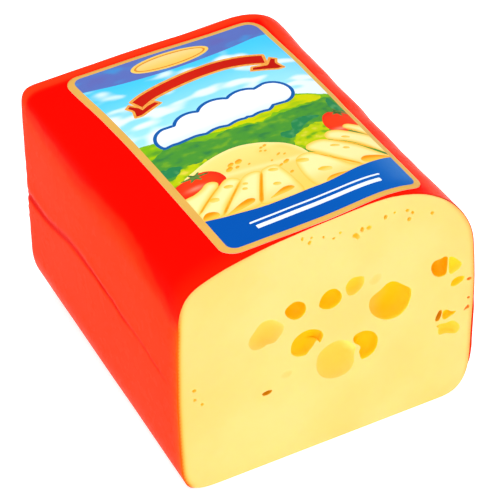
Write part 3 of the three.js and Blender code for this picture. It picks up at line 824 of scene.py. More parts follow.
# the eyes
CONCAVE = ("bean", "notched", "low_pale", "right_pale", "low_amber")
for (name, outline, kind, depth), C, idx in zip(EYES, eye_loops, where[1:]):
    n = len(C)
    c0 = C.mean(0)
    size = math.sqrt(abs(0.5 * np.sum(C[:, 0] * np.roll(C[:, 1], -1) - np.roll(C[:, 0], -1) * C[:, 1])))
    prof = PROFILE[kind]
    prev = np.array(idx)
    round_c = C.copy()
    for lv, (s, hfrac) in enumerate(prof):
        # the walls get rounder with depth
        r = np.linalg.norm(C - c0, axis=1)
        rr = r + (r.mean() - r) * min(0.10 if name in CONCAVE else 0.55, hfrac * 0.6)
        if name in CONCAVE:
            s = min(s, 0.985)
        Q = c0 + (C - c0) / r[:, None] * (rr * s)[:, None]
        if kind == "deep":
            Q = Q + np.array([0.25, -0.15]) * hfrac
        hy = depth * hfrac * np.ones(n)
        ang = np.arctan2(C[:, 1] - c0[1], C[:, 0] - c0[0])
        lump = 0.10 * size / 6 * noise(np.stack([Q[:, 0], Q[:, 1], hy + 7 * len(name)], 1), 2.4, 81)
        if kind in ("pit", "nick", "pale", "slit"):
            lump = lump * 2.2
        hy = np.maximum(hy + lump * smooth(0.1, 0.4, hfrac), 0.03)
        base_y = face_y - face_relief(Q)
        if name == "big_low":       # a low ridge crosses its upper right
            t = (Q - np.array([5.2 - CX, 36.6])) @ np.array([0.83, 0.56])
            hy = hy - 0.9 * smooth(-0.6, 1.6, t) * smooth(0.15, 0.6, hfrac)
            hy = np.maximum(hy, 0.06)
        V = np.stack([Q[:, 0], base_y + hy, Q[:, 1]], 1)
        cv.append(V)
        ca, cb = EYE_TONES.get(name, TONES[kind])
        t = min(1.0, hfrac * 1.1)
        colr = np.tile(ca * (1 - t) + cb * t, (n, 1))
        if kind == "deep":          # top left of each wall is more orange
            # painted shade: the top left of each deep eye's wall is made more orange
            f = (0.5 + 0.5 * np.cos(ang - 2.3)) * 0.35
            colr = colr + (cb * np.array([1.0, 0.72, 1.0]) - colr) * (f * t)[:, None]
        if name == "largest":       # paler, peachy left part
            f = smooth(2.0, -5.5, Q[:, 0] - c0[0] - 0.3 * (Q[:, 1] - c0[1])) * 0.8
            colr = colr + (lin(255, 210, 92) - colr) * f[:, None]
        if name == "right_deep":
            f = smooth(1.5, -3.0, Q[:, 0] - c0[0] - 0.5 * (Q[:, 1] - c0[1])) * 0.9
            colr = colr + (lin(246, 148, 0) - colr) * f[:, None]
        if name == "big_low":
            tt = smooth(-0.6, 1.6, (Q - np.array([5.2 - CX, 36.6])) @ np.array([0.83, 0.56]))
            colr = colr + (lin(255, 218, 106) - colr) * tt[:, None]
        cc.append(np.clip(colr, 0, 1))
        cur = total + np.arange(n)
        total += n
        j = (np.arange(n) + 1) % n
        for a, b, c_, d_ in zip(prev, prev[j], cur[j], cur):
            cfaces.append((int(a), int(b), int(c_), int(d_)))
        prev = cur
        round_c = Q
    tipc = round_c.mean(0)
    tip_y = cv[-1][:, 1].mean() + depth * 0.02
    cv.append(np.array([[tipc[0], tip_y, tipc[1]]]))
    cc.append(cc[-1].mean(0)[None])
    for i in range(n):
        cfaces.append((int(prev[i]), int(prev[(i + 1) % n]), total))
    total += 1

# the sides and the far end, which the film hides
front_idx = np.array(where[0])
side_kinds = [("side", y) for y in (0.06, 0.25, 0.7, 1.5, 3, 6, 10)] + [("side", y) for y in np.linspace(14, STRAIGHT, 24)] \
    + [("turn", a) for a in np.linspace(0, math.pi / 2, 6)[1:]] + [("cap", v) for v in (0.08, 0.25, 0.5, 0.75, 0.93)]
csides, _ = layers(side_kinds, CHEESE_IN, CHEESE_IN_DEEP, flare=False)
csides[0][:, [0, 2]] = offset2(rim, -0.03)
prev = front_idx
for P in csides:
    P[:, 2] = np.maximum(P[:, 2], CHEESE_IN)
    cv.append(P)
    q = P[:, [0, 2]]
    y = P[:, 1] + HALF
    tintc = face_colour(q, np.zeros(M)) if y.min() < 1 else np.tile(lin(252, 222, 120), (M, 1))
    cc.append(tintc)
    cur = total + np.arange(M)
    total += M
    j = (np.arange(M) + 1) % M
    for a, b, c_, d_ in zip(prev, prev[j], cur[j], cur):
        cfaces.append((int(d_), int(c_), int(b), int(a)))
    prev = cur
cv.append(np.array([[-CX, LENGTH - HALF - CHEESE_IN_DEEP, CORE_Z]]))
cc.append(lin(252, 222, 120)[None])
for i in range(M):
    cfaces.append((int(prev[(i + 1) % M]), int(prev[i]), total))
total += 1

mat = Tree("cheese_paste")
tint = mat.attr("tint", True)
m1 = mat.noise(30, 3, 0.55)
m2 = mat.noise(3.2, 3, 0.6)
col = mat.mix(mat.ramp(m1, 0.35, 0.7, 0.0, 0.45), tint, (0.985, 0.86, 0.62), "MULTIPLY")
col = mat.mix(mat.ramp(m2, 0.5, 0.75, 0.0, 0.16), col, (1.0, 0.965, 0.80), "MULTIPLY")
mat.set(Base_Color=col, Roughness=mat.ramp(m2, 0.3, 0.7, 0.38, 0.50), IOR=1.42)
mat.bsdf.inputs["Subsurface Weight"].default_value = 0.35
mat.bsdf.inputs["Subsurface Radius"].default_value = (1.0, 0.55, 0.16)
mat.bsdf.inputs["Subsurface Scale"].default_value = 0.0022
mat.bsdf.inputs["Specular IOR Level"].default_value = 0.10
drag = mat.noise(2.0, 2, 0.5, vec=mat.mapping(mat.coord, scale=(0.12, 1, 1.0), rot=(0, 0.2, 0)))
b1 = mat.bump(drag, 0.05, 0.35)
mat.set(Normal=mat.bump(mat.noise(0.9, 3, 0.6), 0.03, 0.45, b1))
cheese = make("cheese_block_cut", np.vstack(cv), cfaces, mat.mat, colours=np.vstack(cc))
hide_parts("cheese_block")
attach(cheese, "root")

# --------------------------------------------------------------- the label
LAB_W, LAB_D = 67.0, 104.0      # printed sheet, laid flat
LEFT_EDGE = ([0, 50, 63, 70, 81, 86, 91, 96, 105], [-31.9, -32.0, -32.15, -32.35, -32.9, -33.25, -33.7, -34.15, -34.7])
RIGHT_EDGE = ([0, 60, 76, 82, 87, 91, 96, 105], [34.8, 34.7, 34.6, 34.4, 34.1, 33.9, 33.7, 33.2])
LAB_Y0, LAB_BACK = 0.35, 104.5

# crown surface: height and normal over x, y
tab_y = np.arange(0, STRAIGHT + 0.01, 1.0)
tab_x = np.arange(-37, 37.01, 0.25)
tab_z = np.empty((len(tab_y), len(tab_x)))
for r, y in enumerate(tab_y):
    O, N = base_ring("side", y)
    h, _ = relief(O, N)
    P = O + N * h[:, None]
    topm = P[:, 2] > 70
    px, pz = P[topm, 0], P[topm, 2]
    o = np.argsort(px)
    tab_z[r] = np.interp(tab_x, px[o], pz[o])


def crown(x, y):
    fx = np.clip((x - tab_x[0]) / 0.25, 0, len(tab_x) - 1.001)
    fy = np.clip(y / 1.0, 0, len(tab_y) - 1.001)
    i, j = fx.astype(int), fy.astype(int)
    a, b = fx - i, fy - j
    return (tab_z[j, i] * (1 - a) * (1 - b) + tab_z[j, i + 1] * a * (1 - b)
            + tab_z[j + 1, i] * (1 - a) * b + tab_z[j + 1, i + 1] * a * b)


def rounded(x0, x1, y0, y1, r, bow=0.0, n=10):
    """Rectangle with rounded corners; the front side bows forward at its middle."""
    pts = []
    for cx, cy, a0 in ((x1 - r, y1 - r, 0), (x0 + r, y1 - r, 90), (x0 + r, y0 + r, 180), (x1 - r, y0 + r, 270)):
        for k in range(n + 1):
            a = math.radians(a0 + 90 * k / n)
            pts.append([cx + r * math.cos(a), cy + r * math.sin(a)])
    P = resample(np.array(pts), 560)
    mid, half = (x0 + x1) / 2, (x1 - x0) / 2
    t = np.clip((P[:, 0] - mid) / half, -1, 1)
    P[:, 1] += bow * t ** 2 * smooth(y0 + 20, y0, P[:, 1])
    return P


def spline(pts, per=6, closed=True):
    return catmull(pts, per, closed)


def uv2(pts):
    """Label fractions (across, back) to mm on the label."""
    out = []
    for u, v in pts:
        y = LAB_Y0 + v * (LAB_BACK - LAB_Y0)
        a_, b_ = np.interp(y, *LEFT_EDGE), np.interp(y, *RIGHT_EDGE)
        out.append(((-33.2 + 67.2 * u - a_) / (b_ - a_) * LAB_W, v * LAB_D))
    return out


ART = []      # (name, outline in label mm), later ones lie on top
W, D = LAB_W, LAB_D
BORDER = 2.45
outline = rounded(0, W, 0, D, 5.0, 3.2)
picture = rounded(BORDER, W - 2.05, 2.05, D - 1.5, 3.0, 2.75)


def fill_to(top, bottom):
    return np.vstack([top, bottom])


ART.append(("sky", picture))


def band(name, line_top, line_bottom, per=6):
    """Area between two lines given left to right."""
    t = spline(line_top, per, False)
    b = spline(line_bottom, per, False)
    ART.append((name, np.vstack([b, t[::-1]])))


X0, X1 = -3.0, W + 3.0
band("indigo", [(X0, D + 3), (X1, D + 3)],
     uv2([(-0.05, 0.925), (0.03, 0.915), (0.21, 0.894), (0.43, 0.883), (0.66, 0.888), (0.79, 0.897), (0.93, 0.912), (1.05, 0.925)]))


def lobed(cx, cy, rx, ry, lobes, tilt=0.0, amp=0.16, ph=0.0, n=72):
    a = np.linspace(0, 2 * math.pi, n, endpoint=False)
    r = 1 + amp * np.abs(np.sin(lobes * a / 2 + ph)) - amp * 0.5
    x, y = rx * r * np.cos(a), ry * r * np.sin(a)
    c, s = math.cos(tilt), math.sin(tilt)
    return np.stack([cx + x * c - y * s, cy + x * s + y * c], 1)


# a plain oval and a plain ribbon
rib_top = [(10.7, 83.2), (15.1, 85.1), (21.0, 86.7), (26.5, 87.7), (32.0, 88.5), (37.1, 88.8), (42.2, 88.8), (46.8, 88.2), (51.2, 87.2), (54.7, 85.9), (58.0, 84.4)]
rib_bot = [(12.4, 77.4), (18.0, 80.0), (22.7, 81.1), (27.2, 81.8), (31.7, 82.4), (36.0, 82.7), (40.2, 82.7), (44.2, 82.4), (47.8, 81.6), (51.5, 80.4), (56.2, 78.4)]
tail_l = [(10.2, 82.3), (8.0, 80.6), (9.3, 78.3), (8.2, 74.8), (11.0, 74.4), (15.3, 76.0), (19.4, 77.5), (17.8, 80.0), (13.0, 79.0)]
tail_r = [(68.5 - x_, y_) for x_, y_ in tail_l]


def oval(cx, cy, rx, ry, tilt=0.0, n=90):
    a_ = np.linspace(0, 2 * math.pi, n, endpoint=False)
    x_, y_ = rx * np.cos(a_), ry * np.sin(a_)
    return np.stack([cx + x_ * math.cos(tilt) - y_ * math.sin(tilt), cy + x_ * math.sin(tilt) + y_ * math.cos(tilt)], 1)


ART.append(("oval_gold", oval(32.9, 97.2, 13.1, 4.1)))
ART.append(("oval_ring", oval(32.9, 97.2, 12.0, 3.3)))
ART.append(("oval_fill", oval(32.9, 97.2, 11.3, 2.75)))


def grow(P, d):
    P = np.array(P, float)
    area = np.sum(P[:, 0] * np.roll(P[:, 1], -1) - np.roll(P[:, 0], -1) * P[:, 1])
    return offset2(P if area > 0 else P[::-1], d)


for nm, t in (("tail_l", tail_l), ("tail_r", tail_r)):
    P = resample(np.array(t), 60)
    ART.append((nm + "_gold", P if nm == "tail_l" else P[::-1]))
    ART.append((nm, grow(P, -0.85)))
rt, rb = spline(rib_top, 6, False), spline(rib_bot, 6, False)
R = resample(np.vstack([rb, rt[::-1]]), 150)
ART.append(("ribbon_gold", R))
ART.append(("ribbon", grow(R, -0.95)))

# hills and meadow
hill = uv2([(-0.05, 0.592), (0.062, 0.592), (0.114, 0.586), (0.155, 0.590), (0.212, 0.594), (0.35, 0.588), (0.50, 0.577), (0.62, 0.580), (0.694, 0.586), (0.776, 0.585), (0.849, 0.574), (0.918, 0.557), (0.973, 0.552), (1.05, 0.548)])
hl = spline(hill, 14, False)
hl[:, 1] += 0.55 * np.abs(noise2(hl[:, 0], hl[:, 1] * 0, 1.1, 91)) + 0.5 * noise2(hl[:, 0], hl[:, 1] * 0, 4.0, 92)
FOOT = np.stack([np.arange(X0, X1, 0.6), np.full(len(np.arange(X0, X1, 0.6)), 9.0)], 1)
ART.append(("hill", np.vstack([FOOT, hl[::-1]])))
yel = [(22.5, 56.5), (24, 57.6), (28, 57.6), (33, 56.5), (38.6, 56.6), (43.8, 57.9), (47.4, 58.9), (51.1, 59.4), (54.8, 59.2), (58.7, 58.2), (61.7, 56.6),
       (61.3, 55.4), (58.4, 54.2), (55.5, 54.4), (52.5, 53.9), (49.9, 53.9), (47.1, 54.2), (44.7, 54.3), (41.1, 52.9), (38.6, 52.4), (35, 54.0), (31.7, 54.4), (28, 54.4), (24.5, 55.2)]
yel = catmull(yel, 9)
yel[:, 1] += 0.9 * noise2(yel[:, 0], yel[:, 1], 1.5, 93) * smooth(57.0, 55.5, yel[:, 1])
ART.append(("yellow", yel))
dk = catmull([(-3, 53), (3, 54), (6.6, 55.8), (10.9, 57.1), (14.8, 56.2), (18.7, 53.9), (22.8, 53.3), (28.7, 54.2), (33.6, 53.2), (38.7, 52.0), (44.7, 53.2), (50, 53.0), (55, 53.4), (58.5, 53.6), (61.8, 55.0), (66, 56.5), (70, 57)], 12, False)
dk[:, 1] += 1.0 * noise2(dk[:, 0], dk[:, 1] * 0, 1.9, 94)
ART.append(("wood", np.vstack([FOOT + np.array([0, 0.3]), dk[::-1]])))


def blob(points, amp, seed, per=7):
    P_ = catmull(points, per)
    return P_ + amp * np.stack([noise2(P_[:, 0], P_[:, 1], 1.5, seed), noise2(P_[:, 0], P_[:, 1], 1.5, seed + 1)], 1)


ART.append(("teal_l", blob([(2.0, 48.2), (4.3, 47.7), (6.6, 47.7), (8.6, 46.0), (6.8, 44.2), (4.5, 43.5), (2.0, 44.5)], 0.8, 151)))
ART.append(("teal_m", blob([(47.1, 47.5), (49.9, 48.2), (53.1, 47.7), (55.5, 46.4), (51.5, 45.0), (48.0, 43.0), (43.5, 40.0), (40.8, 41.4), (41.1, 44.2), (44.6, 43.6)], 0.9, 153)))
ART.append(("teal_r", blob([(63.2, 54.9), (64.4, 52.0), (64.8, 48.7), (65.0, 45.4), (63.3, 46.2), (61.4, 49.0), (61.5, 52.3)], 0.7, 155)))
ART.append(("bush_l", blob([(2.3, 42.5), (5.2, 42.6), (6.7, 44.1), (8.2, 45.3), (10.5, 45.6), (12.4, 45.1), (14.5, 44.8), (16.4, 45.2), (15.5, 43.0), (13.0, 40.0), (6.0, 37.5), (2.2, 38.5)], 0.9, 157)))
ART.append(("bush_m", blob([(43.8, 39.9), (47.6, 42.1), (50.7, 43.0), (54.4, 43.2), (54.8, 40.0), (53.6, 36.0), (51.6, 33.7), (47.7, 32.6), (43.4, 33.0), (41.6, 35.2), (42.3, 38.0)], 0.9, 159)))

# sliced and rolled cheese with two tomatoes, plain
dome = catmull([(2.0, 37.6), (7.3, 40.9), (10.6, 42.2), (13.4, 43.3), (16.4, 44.3), (19.8, 45.1), (23.0, 45.5), (25.9, 45.5), (28.7, 45.1), (31.2, 44.3), (33.9, 43.2), (36.3, 41.6), (38.9, 39.7), (41.0, 37.2), (42.7, 33.6), (43.4, 30.0)], 8, False)
ART.append(("dome", resample(np.vstack([[(2.0, 12.0)], dome, [(47.0, 25.5), (53.5, 22.0), (67.0, 19.0), (67.0, 12.0)]]), 210)))
HOLES = [(23.6, 38.6, 1.35, 0.95), (20.9, 38.5, 1.3, 0.75), (19.6, 36.8, 1.4, 0.85), (22.1, 36.4, 0.8, 0.55), (33.9, 41.3, 0.8, 0.5), (32.5, 40.9, 0.7, 0.45),
         (31.6, 39.5, 0.55, 0.4), (32.9, 38.9, 0.5, 0.4), (25.7, 35.8, 0.6, 0.35), (35.3, 35.3, 0.9, 0.4), (36.9, 34.4, 0.6, 0.35), (35.5, 30.9, 1.3, 0.7),
         (33.4, 30.2, 0.9, 0.45), (32.2, 33.6, 0.5, 0.35), (34.5, 25.6, 0.8, 0.5)]
for k, (u, v, rx, ry) in enumerate(HOLES):
    ART.append((f"hole_{k}", lobed(u, v, rx, ry, 5, 0.5, 0.10, n=20)))

ART.append(("tomato_l", catmull([(2.0, 38.3), (6.0, 39.8), (8.9, 40.5), (11.5, 40.6), (14.0, 39.8), (15.9, 38.2), (16.8, 36.2), (16.9, 33.8), (14.4, 31.0), (8.2, 29.5), (2.0, 30.5), (1.8, 35.0)], 7)))
ART.append(("tomato_r", catmull([(55.2, 43.8), (56.6, 45.9), (58.4, 46.9), (60.5, 47.4), (62.4, 47.0), (65.0, 46.4), (66.2, 44.5), (66.0, 40.3), (62.2, 37.0), (58.4, 35.7), (56.3, 36.4), (55.0, 37.8), (54.4, 39.6), (54.5, 41.7)], 7)))


def calyx(cx, cy, sx, sy, rot, n=84):
    a_ = np.linspace(0, 2 * math.pi, n, endpoint=False)
    r_ = 0.45 + 1.0 * np.abs(np.cos(3.0 * a_ + rot)) ** 4 * (0.75 + 0.25 * np.cos(a_ * 2 + rot))
    return np.stack([cx + sx * r_ * np.cos(a_), cy + sy * r_ * np.sin(a_)], 1)


ART.append(("leaf_l", calyx(9.4, 39.6, 3.2, 2.0, 0.4)))
ART.append(("leaf_r", calyx(62.0, 46.6, 3.0, 2.0, 1.2)))

ROLLS = [
    ("roll_h", [(38.1, 29.8), (40.5, 31.3), (43.3, 31.0), (46.2, 28.6), (48.6, 24.4), (51.2, 19.8), (54.3, 17.6), (49.9, 16.2), (46.0, 15.0), (41.1, 14.4), (37.6, 15.2), (36.5, 21.2)]),
    ("roll_g", [(43.4, 32.6), (44.2, 34.2), (46.6, 35.0), (49.5, 34.8), (51.9, 33.4), (54.9, 30.8), (57.9, 28.2), (60.6, 25.2), (63.0, 22.8), (66.5, 20.2), (62.0, 17.5), (54.4, 17.2), (52.0, 20.4), (48.9, 24.6), (46.3, 28.4)]),
    ("roll_f", [(51.3, 34.6), (51.9, 36.6), (53.5, 37.7), (56.2, 37.4), (59.0, 35.9), (61.9, 34.3), (64.9, 33.0), (67.5, 31.0), (67.5, 22.0), (65.0, 23.0), (62.6, 24.8), (61.0, 26.6), (58.5, 29.0), (56.0, 31.0), (53.3, 32.6)]),
    ("roll_e", [(59.0, 38.0), (59.8, 39.2), (61.3, 39.6), (63.8, 39.0), (67.5, 37.8), (67.5, 32.0), (65.3, 33.2), (63.1, 34.7), (61.0, 36.2)]),
    ("roll_d", [(26.9, 30.8), (28.6, 31.6), (30.3, 31.8), (32.2, 31.2), (33.2, 27.2), (33.6, 22.0), (33.0, 15.5), (26.0, 15.0), (19.6, 17.2), (22.8, 23.4)]),
    ("roll_c", [(20.0, 30.6), (21.6, 31.6), (23.4, 32.0), (25.2, 31.8), (26.6, 30.9), (26.5, 29.6), (22.9, 23.2), (19.6, 17.2), (12.0, 17.5), (8.1, 19.2), (11.5, 23.1), (15.4, 26.3), (18.6, 28.9)]),
    ("roll_b", [(14.2, 32.3), (16.3, 33.4), (18.2, 33.0), (19.6, 31.7), (19.9, 30.2), (18.5, 28.7), (15.3, 26.1), (11.4, 23.0), (8.0, 19.2), (2.0, 20.6), (1.8, 23.6), (6.1, 26.7), (10.7, 29.8)]),
    ("roll_a", [(1.5, 32.0), (5.7, 32.6), (8.4, 33.6), (10.6, 35.0), (12.5, 34.8), (13.7, 33.4), (13.2, 31.9), (10.1, 29.7), (6.2, 26.8), (1.5, 23.4), (1.2, 28.0)]),
]
roll_info = {}
for nm, pts_ in ROLLS:
    P_ = resample(catmull(pts_, 7), 84)
    roll_info[nm] = P_
    ART.append((nm, P_))


def stroke(points, w0, w1):
    """A soft-ended line as a thin closed area."""
    c_ = resample(catmull(points, 8, False), 34, False)
    t_ = np.gradient(c_, axis=0)
    t_ /= np.linalg.norm(t_, axis=1)[:, None]
    s_ = np.linspace(0, 1, len(c_))
    w_ = (w0 + (w1 - w0) * s_) * np.minimum(1, np.minimum(s_, 1 - s_) * 9 + 0.08) / 2
    n_ = np.stack([-t_[:, 1], t_[:, 0]], 1)
    return np.vstack([c_ - n_ * w_[:, None], (c_ + n_ * w_[:, None])[::-1]])


for nm, pts_, w0, w1 in (("seam_ab", [(13.9, 32.0), (10.0, 29.5), (2.6, 23.9)], 0.5, 0.9), ("seam_bc", [(19.7, 30.3), (15.2, 26.0), (8.1, 19.3)], 0.7, 1.1),
                         ("seam_cd", [(26.9, 30.6), (22.9, 23.4), (19.7, 17.4)], 0.9, 1.5), ("seam_fg", [(51.7, 33.4), (57.3, 29.3), (62.8, 24.7)], 0.4, 0.9),
                         ("seam_gh", [(43.3, 31.2), (48.7, 24.3), (54.4, 17.9)], 0.5, 1.0), ("seam_ef", [(59.2, 37.0), (63.0, 34.6), (66.5, 32.4)], 0.3, 0.6)):
    ART.append((nm, stroke(pts_, w0, w1)))
for nm, pts_ in (("mouth_b", [(2.6, 21.6), (4.3, 23.1), (6.2, 22.7), (7.5, 21.3), (7.4, 20.1), (5.8, 19.6), (4.1, 19.7), (2.6, 20.4)]),
                 ("mouth_c", [(9.2, 18.8), (11.8, 19.9), (15.5, 21.3), (17.8, 21.6), (19.2, 20.5), (18.4, 19.3), (16.0, 18.7), (13.0, 18.4)]),
                 ("mouth_d", [(22.8, 17.9), (25.0, 18.9), (28.7, 20.4), (30.8, 20.1), (31.6, 18.8), (29.7, 18.0), (26.8, 17.8)]),
                 ("mouth_g", [(55.0, 20.6), (56.8, 21.8), (59.6, 21.6), (63.0, 21.2), (65.5, 20.4), (63.0, 18.9), (58.5, 18.2), (55.2, 19.0)]),
                 ("mouth_h", [(40.8, 16.2), (42.7, 17.4), (45.0, 17.5), (47.6, 17.0), (50.5, 16.4), (47.0, 15.0), (43.2, 14.6), (40.7, 15.1)])):
    ART.append((nm, resample(catmull(pts_, 7), 46)))
for k, (u, v, rx, ry) in enumerate([(15.5, 29.8, 1.5, 0.8), (20.2, 28.2, 0.9, 0.6), (19.0, 26.2, 0.9, 0.6), (9.2, 26.9, 1.6, 1.0), (28.0, 22.9, 1.3, 0.8), (30.3, 29.4, 1.6, 0.8),
                                    (43.4, 21.4, 2.2, 1.1), (51.8, 30.2, 1.6, 0.6), (54.2, 27.7, 1.1, 0.6), (57.1, 33.0, 1.4, 0.6), (39.8, 28.6, 2.0, 1.0)]):
    ART.append((f"spot_{k}", lobed(u, v, rx, ry, 5, -0.4, 0.12, n=22)))

BLUE_TOP = [(-3, 21.6), (2.9, 20.2), (7.6, 18.6), (12.0, 17.5), (16.8, 16.4), (21.7, 15.7), (28.9, 15.5), (34.6, 15.6), (39.8, 15.5), (43.6, 15.8), (47.8, 16.5), (51.9, 17.3), (56.1, 18.1), (60.4, 19.0), (64.6, 20.1), (70, 21.6)]
band("blue", BLUE_TOP,
     [(X0, -4), (X1, -4)], 8)
for nm, (v0, th) in (("rule_a", (0.104, 0.75)), ("rule_b", (0.079, 1.7))):
    xs = np.linspace(0.185 if nm == "rule_a" else 0.20, 0.835 if nm == "rule_a" else 0.82, 40) * W
    bow = 1.9 * ((xs - W / 2) / (W / 2)) ** 2
    c = v0 * D + bow
    ART.append((nm, np.vstack([np.stack([xs, c - th / 2], 1), np.stack([xs, c + th / 2], 1)[::-1]])))

# a puffy cloud where the picture needs its focus
cl = []
for cx, cy, r in ((0.20, 0.575, 5.2), (0.33, 0.592, 6.3), (0.47, 0.602, 7.2), (0.61, 0.606, 6.8), (0.735, 0.612, 5.6)):
    cl.append((cx * W, cy * D, r))
a = np.linspace(0, 2 * math.pi, 220, endpoint=False)
cc0 = np.array([0.465 * W, 0.592 * D])
ray = np.stack([np.cos(a), np.sin(a)], 1)
best = np.zeros(len(a))
for cx, cy, r in cl:
    d = np.array([cx, cy]) - cc0
    b = ray @ d
    disc = b * b - (d @ d - r * r)
    t = np.where(disc > 0, b + np.sqrt(np.maximum(disc, 0)), 0)
    best = np.maximum(best, t)
cloud = cc0 + ray * best[:, None]
cloud[:, 1] = np.maximum(cloud[:, 1], 0.545 * D + 0.8 * np.abs(np.sin(cloud[:, 0] * 0.42)))
cloud = resample(cloud, 240)
ART.append(("cloud_line", grow(cloud, 1.15)))
ART.append(("cloud", cloud))

RULES = {}


